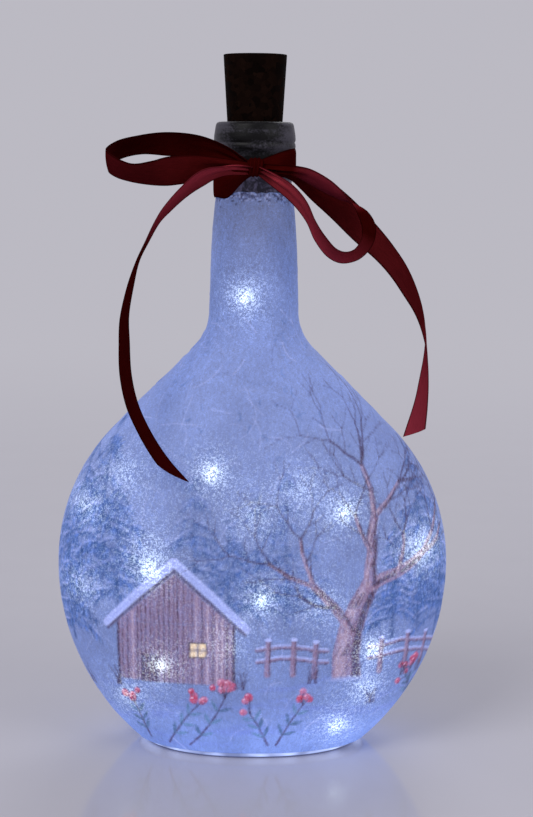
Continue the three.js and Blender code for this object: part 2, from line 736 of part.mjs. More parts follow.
function buildBow() {
  buildBand();
  buildKnot();
  ribbon('left_loop', [
    [-0.58, 0.18, 0.28, 0.45, 0, -0.5, 1],
    [-1.25, 0.33, 0.56, 0.65, 0, -0.6, 1],
    [-2.12, 0.6, 0.77, 0.9, 0, -0.7, 1],
    [-3.17, 0.8, 0.87, 1, 0, -0.65, 0.76],
    [-4.23, 0.9, 0.87, 1, 0, -0.65, 0.76],
    [-4.99, 0.8, 0.7, 1, 0, -0.65, 0.76],
    [-5.35, 0.5, 0.36, 1, 0, -0.65, 0.76],
    [-5.04, 0.1, 0.05, 1, 0, -0.65, 0.76],
    [-4.16, -0.2, -0.08, 1, 0, -0.65, 0.76],
    [-3.12, -0.35, -0.09, 1, 0, -0.65, 0.76],
    [-2.1, -0.35, -0.02, 0.9, 0, -0.6, 0.8],
    [-1.24, -0.2, 0.06, 0.65, 0, -0.5, 1],
    [-0.58, -0.02, 0.1, 0.45, 0, -0.4, 1],
  ]);
  ribbon('right_loop', [
    [0.59, 0.16, 0.08, 0.45, 0.3, -0.2, 1],
    [1.29, 0.2, -0.2, 0.7, 0.6, -0.2, 1],
    [2.05, 0.35, -0.7, 0.95, 0.7, -0.2, 0.7],
    [2.85, 0.5, -1.37, 1, 0.7, -0.3, 0.7],
    [3.55, 0.58, -2.06, 1, 0.75, -0.4, 0.5],
    [3.97, 0.5, -2.54, 1, 0.75, -0.6, 0.2],
    [3.85, 0.2, -2.89, 1, 0.4, -0.85, -0.3],
    [3.29, -0.1, -3.07, 1, 0, -0.9, -0.4],
    [2.72, -0.28, -2.89, 1, -0.2, -0.95, -0.2],
    [2.2, -0.4, -2.4, 1, -0.2, -0.95, 0],
    [1.75, -0.48, -1.71, 0.95, -0.1, -0.95, 0.2],
    [1.37, -0.46, -1.06, 0.8, 0, -0.9, 0.4],
    [1.01, -0.34, -0.55, 0.6, 0, -0.7, 0.7],
    [0.59, -0.12, -0.24, 0.45, 0.2, -0.4, 1],
  ]);
  ribbon('left_tail', [
    [-0.55, -0.2, -0.16, 0.4, 0, -0.6, 1],
    [-1.24, -0.46, -0.12, 0.6, 0, -0.8, 0.6],
    [-1.99, -0.73, -0.36, 0.9, 0, -0.9, 0.4],
    [-2.61, -0.84, -0.82, 1, 0.1, -0.94, 0.2],
    [-3.27, -0.86, -1.42, 1, 0.2, -0.95, -0.2],
    [-3.56, -0.86, -1.8, 1, 0.1, -0.98, -0.1],
    [-3.91, -0.86, -2.48, 1, 0, -1, 0],
    [-4.22, -0.86, -3.13, 1, -0.05, -1, 0],
    [-4.47, -0.9, -3.91, 1, -0.15, -0.98, 0],
    [-4.7, -0.96, -5.04, 1, -0.25, -0.95, 0],
    [-4.7, -1.02, -5.97, 1, -0.36, -0.92, 0],
    [-4.64, -1.1, -7, 1, -0.38, -0.9, 0],
    [-4.41, -1.24, -8.02, 1, -0.38, -0.9, -0.1],
    [-4.05, -1.4, -8.82, 0.95, -0.36, -0.84, -0.25],
    [-3.55, -1.54, -9.63, 0.8, -0.34, -0.8, -0.4],
    [-3.13, -1.66, -10.06, 0.6, -0.32, -0.78, -0.45],
    [-2.57, -1.76, -10.51, 0.25, -0.3, -0.76, -0.5],
  ]);
  ribbon('right_tail', [
    [0.6, 0.26, 0.36, 0.45, 0.4, 0, 1],
    [1.35, 0.56, 0.04, 0.65, 0.7, 0, 1],
    [2.13, 0.78, -0.48, 0.9, 0.7, 0, 0.7],
    [2.94, 0.94, -1.22, 1, 0.7, 0, 0.7],
    [3.59, 1.02, -1.96, 1, 0.75, 0.15, 0.6],
    [4.29, 1.04, -2.82, 0.95, 0.72, 0.3, 0.5],
    [4.85, 1, -3.52, 0.9, 0.65, 0.5, 0.35],
    [5.28, 0.94, -4.23, 0.9, 0.5, 0.75, 0.2],
    [5.59, 0.87, -4.93, 0.9, 0.35, 0.9, 0.1],
    [5.77, 0.8, -5.64, 0.95, 0.2, 0.98, 0],
    [5.84, 0.74, -6.41, 1, 0, 1, 0],
    [5.8, 0.68, -7.41, 1, -0.3, 0.95, 0],
    [5.69, 0.62, -8.3, 1, -0.5, 0.85, 0],
    [5.5, 0.56, -9.39, 1, -0.7, 0.7, -0.15],
  ]);
}

function leastGap(points, diameter) {
  let least = Infinity;
  for (let i = 0; i < points.length; i++) {
    for (let j = i + 6; j < points.length; j++) {
      least = Math.min(least, points[i].distanceTo(points[j]) - diameter);
    }
  }
  return least;
}

buildBottle();
buildPapers();
buildCork();
buildTray();
buildCells();
buildSpring();
buildSwitch();
const coil = buildLightString();
buildLead(coil[0]);
buildBow();
console.log(`least gap of the wire coil to itself: ${leastGap(coil, 2 * wireRadius).toFixed(2)} mm`);

export default lamp;
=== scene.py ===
import math
import random

import bmesh
import bpy
import numpy as np
from mathutils import Matrix, Vector


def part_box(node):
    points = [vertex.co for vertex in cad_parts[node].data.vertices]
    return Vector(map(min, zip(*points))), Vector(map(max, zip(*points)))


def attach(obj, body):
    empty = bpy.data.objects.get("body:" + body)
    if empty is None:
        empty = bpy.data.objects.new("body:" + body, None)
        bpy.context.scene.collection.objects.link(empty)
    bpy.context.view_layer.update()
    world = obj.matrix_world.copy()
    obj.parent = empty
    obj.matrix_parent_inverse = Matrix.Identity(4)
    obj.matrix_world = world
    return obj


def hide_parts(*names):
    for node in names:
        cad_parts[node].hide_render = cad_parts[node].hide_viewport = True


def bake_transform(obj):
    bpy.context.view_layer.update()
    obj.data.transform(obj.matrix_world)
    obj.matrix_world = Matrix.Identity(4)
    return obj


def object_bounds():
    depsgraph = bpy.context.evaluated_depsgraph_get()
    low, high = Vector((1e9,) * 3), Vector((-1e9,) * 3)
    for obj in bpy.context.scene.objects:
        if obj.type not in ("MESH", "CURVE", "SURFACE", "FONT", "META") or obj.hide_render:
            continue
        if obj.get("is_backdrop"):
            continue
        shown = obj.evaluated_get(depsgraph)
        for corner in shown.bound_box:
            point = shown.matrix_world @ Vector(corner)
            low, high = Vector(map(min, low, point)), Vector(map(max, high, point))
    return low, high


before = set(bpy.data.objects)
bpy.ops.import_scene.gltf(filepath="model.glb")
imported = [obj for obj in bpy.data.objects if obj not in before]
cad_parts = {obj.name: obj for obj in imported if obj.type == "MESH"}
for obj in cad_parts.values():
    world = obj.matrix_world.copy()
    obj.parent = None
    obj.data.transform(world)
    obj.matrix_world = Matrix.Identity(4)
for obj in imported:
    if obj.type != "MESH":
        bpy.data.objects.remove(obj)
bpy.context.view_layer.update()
mm = 0.001


# The camera stands where the photograph was taken from, level with the bottle's lip and looking
# slightly down at the lamp, which leans a trace to the right in that view.
camera_height = 217 * mm
camera_tilt = math.radians(8.7)
camera_roll = math.radians(0.4)
camera_turn = Matrix.Rotation(math.pi / 2 - camera_tilt, 4, "X") @ Matrix.Rotation(camera_roll, 4, "Z")
bpy.ops.object.camera_add(location=(4.8 * mm, -610 * mm, camera_height), rotation=camera_turn.to_euler())
camera = bpy.context.object
camera.data.lens = 74.9
bpy.context.scene.camera = camera
bpy.context.scene.view_settings.view_transform = "Standard"


# The bottle is blown in one piece of clear glass: a flat round body, a long neck, and a collar
# under a lip ring with a groove round it. The collar and the lip are etched dull and grey.
body_half_width = 70.4 * mm
body_half_depth = 36.4 * mm
body_centre_height = 67 * mm
upper_arc_radius = 70.4 * mm
lower_arc_radius = 86.4 * mm
shoulder_slope = math.radians(45)
shoulder_fillet_radius = 19.6 * mm
heel_radius = 7.5 * mm
neck_foot_radius = 15.4 * mm
neck_top_radius = 14 * mm
neck_top_height = 202 * mm
neck_draw = 1.1 * mm
neck_draw_start = 178 * mm
body_roundness = 2.3
wall_thickness = 2.6 * mm
neck_wall_thickness = 4 * mm
floor_thickness = 5 * mm
bore_radius = 10.1 * mm


def half_width(height, offset=0.0):
    """Half the bottle's width at a height, on a skin that stands off the glass by an offset."""
    upper_centre = body_half_width - upper_arc_radius
    lower_centre = body_half_width - lower_arc_radius
    heel_rise = body_centre_height - heel_radius
    heel_centre = lower_centre + math.sqrt((lower_arc_radius - heel_radius) ** 2 - heel_rise ** 2)
    heel_top = heel_radius - (heel_radius + offset) * heel_rise / (lower_arc_radius - heel_radius)
    across, up = math.cos(shoulder_slope), math.sin(shoulder_slope)
    shoulder_start = body_centre_height + (upper_arc_radius + offset) * up
    shoulder_x = upper_centre + (upper_arc_radius + offset) * across
    fillet_x = neck_foot_radius + shoulder_fillet_radius
    fillet_height = body_centre_height + upper_arc_radius * up + (
        shoulder_fillet_radius - (fillet_x - upper_centre - upper_arc_radius * across) * across
    ) / up
    fillet_radius = shoulder_fillet_radius - offset
    above_centre = height - body_centre_height
    if height < heel_top:
        return heel_centre + math.sqrt(max((heel_radius + offset) ** 2 - (height - heel_radius) ** 2, 0))
    if height < body_centre_height:
        return lower_centre + math.sqrt((lower_arc_radius + offset) ** 2 - above_centre ** 2)
    if height < shoulder_start:
        return upper_centre + math.sqrt((upper_arc_radius + offset) ** 2 - above_centre ** 2)
    if height < fillet_height - fillet_radius * up:
        return shoulder_x - (height - shoulder_start) * up / across
    if height < fillet_height:
        return fillet_x - math.sqrt(fillet_radius ** 2 - (height - fillet_height) ** 2)
    share = (height - fillet_height) / (neck_top_height - fillet_height)
    drawn = max(0, (height - neck_draw_start) / (neck_top_height - neck_draw_start)) ** 2 * neck_draw
    return neck_foot_radius + (neck_top_radius - neck_foot_radius) * share - drawn + offset


def body_share(height):
    """0 in the round neck and 1 at the widest part of the flat body."""
    share = (half_width(height) - neck_foot_radius) / (body_half_width - neck_foot_radius)
    return min(max(share, 0), 1)


def half_depth(height, offset=0.0):
    """Half the bottle's depth: as its width in the neck, and flatter in the body."""
    if half_width(height) <= neck_foot_radius:
        return half_width(height) + offset
    return neck_foot_radius + (body_half_depth - neck_foot_radius) * body_share(height) + offset


def oval(width, depth, roundness, height, turns):
    """Points of a level flat oval at the given turns; a roundness of 2 is a plain ellipse."""
    c, s = np.cos(turns), np.sin(turns)
    x = width * np.sign(c) * np.abs(c) ** (2 / roundness)
    y = depth * np.sign(s) * np.abs(s) ** (2 / roundness)
    return np.stack([x, y, np.full_like(x, height)], axis=-1)


def circle(radius, height, turns):
    return oval(radius, radius, 2, height, turns)


def roundness_at(height):
    """2 in the neck, which is round, and more in the body, which is a little squared."""
    return 2 + (body_roundness - 2) * body_share(height)


def skin_ring(height, offset, turns):
    width, depth = half_width(height, offset), half_depth(height, offset)
    return oval(width, depth, roundness_at(height), height, turns)


def inside_half_width(height):
    """Half the width of the hollow, which closes to the bore in the neck."""
    share = min(max((height - body_centre_height) / (neck_top_height - body_centre_height), 0), 1)
    neck_bore = max(bore_radius, neck_foot_radius - neck_wall_thickness) + (1 - share) * wall_thickness
    wall = half_width(height, -wall_thickness)
    if half_width(height) < neck_foot_radius + neck_wall_thickness:
        return min(wall, neck_bore)
    return wall


def inside_half_depth(height):
    return min(inside_half_width(height), half_depth(height, -wall_thickness))


def inside_ring(height, turns, off_wall=0.0):
    width, depth = inside_half_width(height) - off_wall, inside_half_depth(height) - off_wall
    return oval(width, depth, roundness_at(height), height, turns)


def laid_up(name, rows, wraps=False):
    """A piece whose skin runs through rows of points, each row joined to the next."""
    rows = np.asarray(rows, dtype=float)
    count, size = rows.shape[:2]
    index = np.arange(count * size).reshape(count, size)
    if wraps:
        index = np.concatenate([index, index[:, :1]], axis=1)
    quads = np.stack([index[:-1, :-1], index[:-1, 1:], index[1:, 1:], index[1:, :-1]], axis=-1)
    mesh = bpy.data.meshes.new(name)
    mesh.from_pydata(rows.reshape(-1, 3).tolist(), [], quads.reshape(-1, 4).tolist())
    mesh.polygons.foreach_set("use_smooth", [True] * len(mesh.polygons))
    piece = bpy.data.objects.new(name, mesh)
    bpy.context.scene.collection.objects.link(piece)
    return piece


def take_up(piece):
    """Makes one piece the only one that is selected and worked on."""
    bpy.ops.object.select_all(action="DESELECT")
    piece.select_set(True)
    bpy.context.view_layer.objects.active = piece
    return piece


def seams_closed(piece):
    """Merges the points that meet, and turns the faces of a closed skin outwards."""
    take_up(piece)
    bpy.ops.object.mode_set(mode="EDIT")
    bpy.ops.mesh.select_all(action="SELECT")
    bpy.ops.mesh.remove_doubles(threshold=0.01 * mm)
    bpy.ops.mesh.normals_make_consistent(inside=False)
    bpy.ops.object.mode_set(mode="OBJECT")
    return piece


class Link:
    """What one node gives, so that sums on it can be written as plain arithmetic."""

    def __init__(self, nodes, socket):
        self.nodes, self.socket = nodes, socket

    def worked(self, operation, *others):
        return self.nodes.node("Math", {"operation": operation}, dict(enumerate((self, *others))))

    def __add__(self, other):
        return self.worked("ADD", other)

    def __sub__(self, other):
        return self.worked("SUBTRACT", other)

    def __rsub__(self, other):
        return self * -1 + other

    def __mul__(self, other):
        return self.worked("MULTIPLY", other)

    def __pow__(self, other):
        return self.worked("POWER", other)

    def __abs__(self):
        return self.worked("ABSOLUTE")

    __radd__ = __add__
    __rmul__ = __mul__


class Nodes:
    """A tree of shader nodes, with short ways of adding to it."""

    def __init__(self, tree):
        self.tree = tree

    def node(self, kind, settings=(), values=(), output=0):
        made = self.tree.nodes.new("ShaderNode" + kind)
        for name, value in dict(settings).items():
            if name == "stops":
                while len(made.color_ramp.elements) < len(value):
                    made.color_ramp.elements.new(0.5)
                for element, (place, colour) in zip(made.color_ramp.elements, value):
                    element.position, element.color = place, (*colour, 1)
            else:
                setattr(made, name, value)
        for place, value in dict(values).items():
            if isinstance(value, Link):
                self.tree.links.new(value.socket, made.inputs[place])
            else:
                made.inputs[place].default_value = value
        return Link(self, made.outputs[output])


class Finish(Nodes):
    """One material: a Principled shader and the nodes that feed it."""

    def __init__(self, name, **even):
        self.material = bpy.data.materials.new(name)
        self.material.use_nodes = True
        super().__init__(self.material.node_tree)
        self.shader = self.tree.nodes["Principled BSDF"]
        for socket, value in even.items():
            self.shader.inputs[socket.replace("_", " ")].default_value = value

    def place(self):
        return self.node("TexCoord", output=3)

    def scaled(self, place, scale, turn=(0, 0, 0)):
        return self.node("Mapping", values={0: place, 2: turn, 3: scale})

    def noise(self, place, scale, detail=2.0, roughness=0.5, distortion=0.0):
        return self.node("TexNoise", values={
            "Vector": place, "Scale": scale, "Detail": detail,
            "Roughness": roughness, "Distortion": distortion,
        })

    def between(self, value, low, high, start=0.0, end=1.0):
        """start where the value is low, end where it is high, and eased in between."""
        return self.node("MapRange", {"interpolation_type": "SMOOTHSTEP"}, {
            0: value, 1: low, 2: high, 3: start, 4: end,
        })

    def blend(self, first, second, share):
        """From the first colour to the second."""
        ends = [(*c, 1) if isinstance(c, tuple) else c for c in (first, second)]
        return self.node("Mix", {"data_type": "RGBA"}, {0: share, 6: ends[0], 7: ends[1]}, output=2)

    def tinted(self, colour, amount):
        """The colour, times a number or another colour."""
        colour = (*colour, 1) if isinstance(colour, tuple) else colour
        settings = {"data_type": "RGBA", "blend_type": "MULTIPLY"}
        return self.node("Mix", settings, {0: 1.0, 6: colour, 7: amount}, output=2)

    def added(self, first, second):
        settings = {"data_type": "RGBA", "blend_type": "ADD"}
        return self.node("Mix", settings, {0: 1.0, 6: first, 7: second}, output=2)

    def across_of(self, place):
        return self.node("SeparateXYZ", values={0: place})

    def height_of(self, place):
        return self.node("SeparateXYZ", values={0: place}, output=2)

    def feed(self, **sockets):
        for socket, link in sockets.items():
            self.tree.links.new(link.socket, self.shader.inputs[socket.replace("_", " ")])

    def two_tone(self, first, second, share, marks, smooth, rough):
        """From one colour to another by the share, and from smooth to rough where the marks are strong."""
        self.feed(
            Base_Color=self.blend(first, second, share),
            Roughness=self.between(marks, 0.3, 0.7, smooth, rough),
        )

    def bump(self, height, depth, strength=1.0):
        normal = self.node("Bump", values={"Strength": strength, "Distance": depth, "Height": height})
        self.feed(Normal=normal)

    def onto(self, *pieces):
        for piece in pieces:
            piece.data.materials.clear()
            piece.data.materials.append(self.material)


lip_profile = [
    (13.1, 202.6), (13.2, 204), (13.25, 208), (13.3, 214.6), (13.5, 215.9), (14.0, 216.6), (14.35, 217.0),
    (14.5, 217.5), (14.45, 218.4), (14.2, 218.8), (14.15, 219.1), (14.3, 219.4), (14.5, 219.9),
    (14.4, 221.5), (14.1, 223.4), (13.85, 224.9), (13.65, 225.5), (13.3, 225.9), (12.6, 226.2),
    (11.2, 226.2), (10.5, 225.9), (10.15, 225.3),
]
bore_heights = (222, 212, 202)
foot_band = 8 * mm
punt_slope = 1.6 * mm
punt_depth = 1.6 * mm
around = np.linspace(0, 2 * math.pi, 160, endpoint=False)
outside_heights = np.concatenate([
    [0.3, 0.8, 1.5, 2.4, 3.4, 4.6, 6, 8, 10], np.arange(13, 130, 3), np.arange(131, 160, 2),
    np.arange(162, 203, 4),
]) * mm
glass_rows = [
    circle(0, punt_depth, around),
    *[
        oval(half_width(0) - inset, half_depth(0) - inset, roundness_at(0), height, around)
        for inset, height in [
            (foot_band + punt_slope, punt_depth), (foot_band + 0.6 * punt_slope, 0.9 * punt_depth),
            (foot_band, 0), (0, 0),
        ]
    ],
    *[skin_ring(height, 0, around) for height in outside_heights],
    *[circle(radius * mm, height * mm, around) for radius, height in lip_profile],
    *[circle(bore_radius, height * mm, around) for height in bore_heights],
    *[inside_ring(height, around) for height in outside_heights[::-1] if height > floor_thickness],
    inside_ring(floor_thickness, around),
    circle(0, floor_thickness, around),
]
bottle_glass = seams_closed(laid_up("bottle_glass", glass_rows, wraps=True))

etched = Finish(
    "etched_glass", IOR=1.5, Specular_IOR_Level=0.12, Sheen_Weight=0.2, Sheen_Roughness=0.4,
    Emission_Strength=1.0,
)
place = etched.place()
drawn = etched.noise(etched.scaled(place, (1, 1, 1.5)), 1150, 3, 0.75, 0.4)
rings = etched.noise(etched.scaled(place, (0.12, 0.12, 1)), 420, 2, 0.5)
clouds = etched.noise(place, 300, 3, 0.7, 0.8)
# The pale marks are the etched streaks, rings and clouds, and towards the left and right sides also a
# painted sheen that makes the collar and lip paler there.
painted_side_sheen = etched.between(abs(etched.across_of(place)), 5 * mm, 12 * mm, -0.05, 0.09)
pale = etched.between(drawn * 0.4 + rings * 0.45 + clouds * 0.2 + painted_side_sheen, 0.45, 0.66)
etched.feed(
    Base_Color=etched.blend((0.003, 0.0026, 0.0032), (0.062, 0.058, 0.076), pale),
    Roughness=etched.between(pale, 0, 1, 0.4, 0.62),
)
# The glass's emission is painted glow from the lights inside: a bright line round the foot, a glow under the
# paper that fades up the neck, and a faint glow on the collar.
height = etched.height_of(place)
foot_light = etched.between(height, 0.2 * mm, 1 * mm) * etched.between(height, 1.6 * mm, 3 * mm, 0.9, 0)
foot_light = foot_light * etched.between(etched.noise(place, 90, 2), 0.35, 0.7, 0.35, 1.6)
under_paper_glow = etched.between(height, 4 * mm, 8 * mm, 0.5, 0.85)
under_paper_glow = under_paper_glow * etched.between(height, 165 * mm, 201 * mm, 1, 0)
collar_light = etched.between(height, 205 * mm, 213 * mm, 1, 0) * etched.between(clouds, 0.4, 0.6, 0.2, 1)
collar_light = collar_light * etched.between(height, 190 * mm, 200 * mm)
glass_light = etched.added(
    etched.tinted((0.42, 0.52, 0.86), foot_light), etched.tinted((0.16, 0.2, 0.5), under_paper_glow),
)
etched.feed(Emission_Color=etched.added(glass_light, etched.tinted((0.045, 0.04, 0.075), collar_light)))
etched.bump(drawn * 0.6 + clouds, 0.12 * mm, 0.7)
etched.onto(bottle_glass)
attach(bottle_glass, "bottle")
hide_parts("glass_bottle")


# The light string: one thin enamelled wire that leaves the stopper's floor, hangs through the neck
# and winds round the inside of the glass, with twenty lights moulded on it in drops of clear resin.
wire_radius = 0.4 * mm
wall_standoff = 2.3 * mm
lead_top = 204.5 * mm
lead_foot = 172 * mm
light_places = [
    (-108, 165), (-103, 105), (-218, 96), (-285, 91), (-421, 91), (-528, 87), (-630, 80),
    (-739, 75), (-840, 70), (-956, 68), (-1062, 66), (-1168, 61), (-1268, 55), (-1372, 47),
    (-1487, 40), (-1560, 35), (-1702, 31), (-1841, 24), (-1992, 14), (-2206, 10),
]
light_length = 4.2 * mm
steps_between_lights = 7
guide_steps = 200
look_ahead = 6


def smooth_path(points, steps, even=False):
    """A curve through all the points, with so many steps from each to the next."""
    points = [np.asarray(p, dtype=float) for p in points]
    points = [2 * points[0] - points[1], *points, 2 * points[-1] - points[-2]]
    path = []
    for before, start, end, after in zip(points, points[1:], points[2:], points[3:]):
        spans = [1.0, 1.0, 1.0]
        if not even:
            pairs = ((before, start), (start, end), (end, after))
            spans = [max(np.linalg.norm(b - a), 1e-9) ** 0.5 for a, b in pairs]
        first, middle, last = spans
        leave = (start - before) / first - (end - before) / (first + middle) + (end - start) / middle
        arrive = (end - start) / middle - (after - start) / (middle + last) + (after - end) / last
        leave, arrive = leave * middle, arrive * middle
        for step in range(steps):
            t = step / steps
            path.append(
                start + leave * t + (3 * (end - start) - 2 * leave - arrive) * t ** 2
                + (2 * (start - end) + leave + arrive) * t ** 3
            )
    return np.array([*path, points[-2]])


def unit(vectors):
    return vectors / np.linalg.norm(vectors, axis=-1, keepdims=True)


def wall_point(turn, height):
    """Where the middle of the wire lies against the glass, at a turn in degrees and a height."""
    return inside_ring(height * mm, np.array([math.radians(turn)]), wall_standoff)[0]


def tube(name, centres, radius, sides):
    """A tube of even section, closed at both ends."""
    along = unit(np.gradient(centres, axis=0))
    side = np.array([1.0, 0, 0]) if abs(along[0][2]) > 0.9 else np.array([0, 0, 1.0])
    turns = np.linspace(0, 2 * math.pi, sides, endpoint=False)
    rows = []
    for centre, direction in zip(centres, along):
        side = unit(side - direction * side.dot(direction))
        other = np.cross(direction, side)
        rows.append(centre + radius * (np.outer(np.cos(turns), side) + np.outer(np.sin(turns), other)))
    rows = [np.repeat(centres[:1], sides, axis=0), *rows, np.repeat(centres[-1:], sides, axis=0)]
    return seams_closed(laid_up(name, rows, wraps=True))


coil_start = (-100, lead_foot / mm - 0.3)
guide = smooth_path([coil_start, *light_places], guide_steps)
coil_top = wall_point(*guide[0])
route = [
    (0, 0, lead_top), (0, 0, lead_top - 4 * mm), (1.2 * mm, 1 * mm, lead_top - 12 * mm),
    (0.6 * mm, -3 * mm, lead_top - 20 * mm),
    (coil_top[0], coil_top[1] + 1.2 * mm, lead_foot + 6 * mm),
    (*coil_top[:2], lead_foot),
]
for at_light in range(guide_steps, len(guide), guide_steps):
    here = wall_point(*guide[at_light])
    ahead = wall_point(*guide[min(at_light + look_ahead, len(guide) - 1)])
    behind = wall_point(*guide[at_light - look_ahead])
    straight = 0.75 * light_length * unit(ahead - behind)
    for step in range(1, steps_between_lights):
        part = round(step * guide_steps / steps_between_lights)
        point = wall_point(*guide[at_light - guide_steps + part])
        if np.linalg.norm(point - here) > light_length:
            route.append(point)
    route += [here - straight, here + straight]
wire_centres = smooth_path(route, 4)
light_wire = tube("light_wire", wire_centres, wire_radius, 8)

enamel = Finish("enamelled_wire", Metallic=1.0)
place = enamel.place()
wear = enamel.noise(place, 900, 3, 0.6)
enamel.two_tone((0.62, 0.3, 0.13), (0.4, 0.17, 0.07), enamel.between(wear, 0.4, 0.65), wear, 0.22, 0.42)
enamel.onto(light_wire)

drop = Finish("lit_resin_drop", Roughness=0.12, IOR=1.5, Emission_Strength=3.0)
place = drop.place()
cloudiness = drop.noise(place, 700, 2, 0.5)
drop.feed(
    Base_Color=drop.blend((0.75, 0.8, 0.9), (0.9, 0.93, 1.0), cloudiness),
    Emission_Color=drop.blend((0.55, 0.68, 1.0), (1.0, 1.0, 1.0), drop.between(cloudiness, 0.35, 0.65)),
)
lights = [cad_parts[f"light_{number:02d}"] for number in range(1, len(light_places) + 1)]
drop.onto(*lights)
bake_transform(light_wire)
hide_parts("wire_coil", "wire_lead")


# The rice paper: two sheets of thin fibrous paper glued over the glass, one round the front and one
# round the back. A winter wood is printed on them, and the lights shine through.
paper_offset = 0.65 * mm
paper_under = 0.32 * mm
seam_gap = 0.1 * mm
paper_foot = 2.4 * mm
ragged_from = 190 * mm
ragged_by = 0.6 * mm
paper_rows = 331
paper_columns = 275


def smooth_noise(along, up, size, seed):
    """Soft random values from 0 to 1 over the paper, with features of about the given size."""
    cells = 61
    grid = np.random.default_rng(seed).random((cells, cells))
    x, y = np.mod(along / size + 17.3, cells - 1), np.mod(up / size + 9.1, cells - 1)
    i, j = np.floor(x).astype(int), np.floor(y).astype(int)
    fx, fy = x - i, y - j
    fx, fy = fx * fx * (3 - 2 * fx), fy * fy * (3 - 2 * fy)
    low = grid[j, i] * (1 - fx) + grid[j, i + 1] * fx
    high = grid[j + 1, i] * (1 - fx) + grid[j + 1, i + 1] * fx
    return low * (1 - fy) + high * fy


def run_along(points):
    """How far each point lies along the line through all of them."""
    return np.concatenate([[0], np.cumsum(np.linalg.norm(np.diff(points, axis=0), axis=1))])


def beyond(x, y, heading, reach):
    """The point at a reach from another one, in a heading."""
    return x + reach * math.cos(heading), y + reach * math.sin(heading)


def wander(x, y, heading, turns, pace):
    """A line that starts at a point, and turns before each pace."""
    points = [(x, y)]
    for turn in turns:
        heading += turn
        points.append(beyond(*points[-1], heading, pace))
    return points


def raised(points, by):
    return [(x, y + by) for x, y in points]


def oblong(left, foot, right, top):
    return [(left, foot), (right, foot), (right, top), (left, top)]


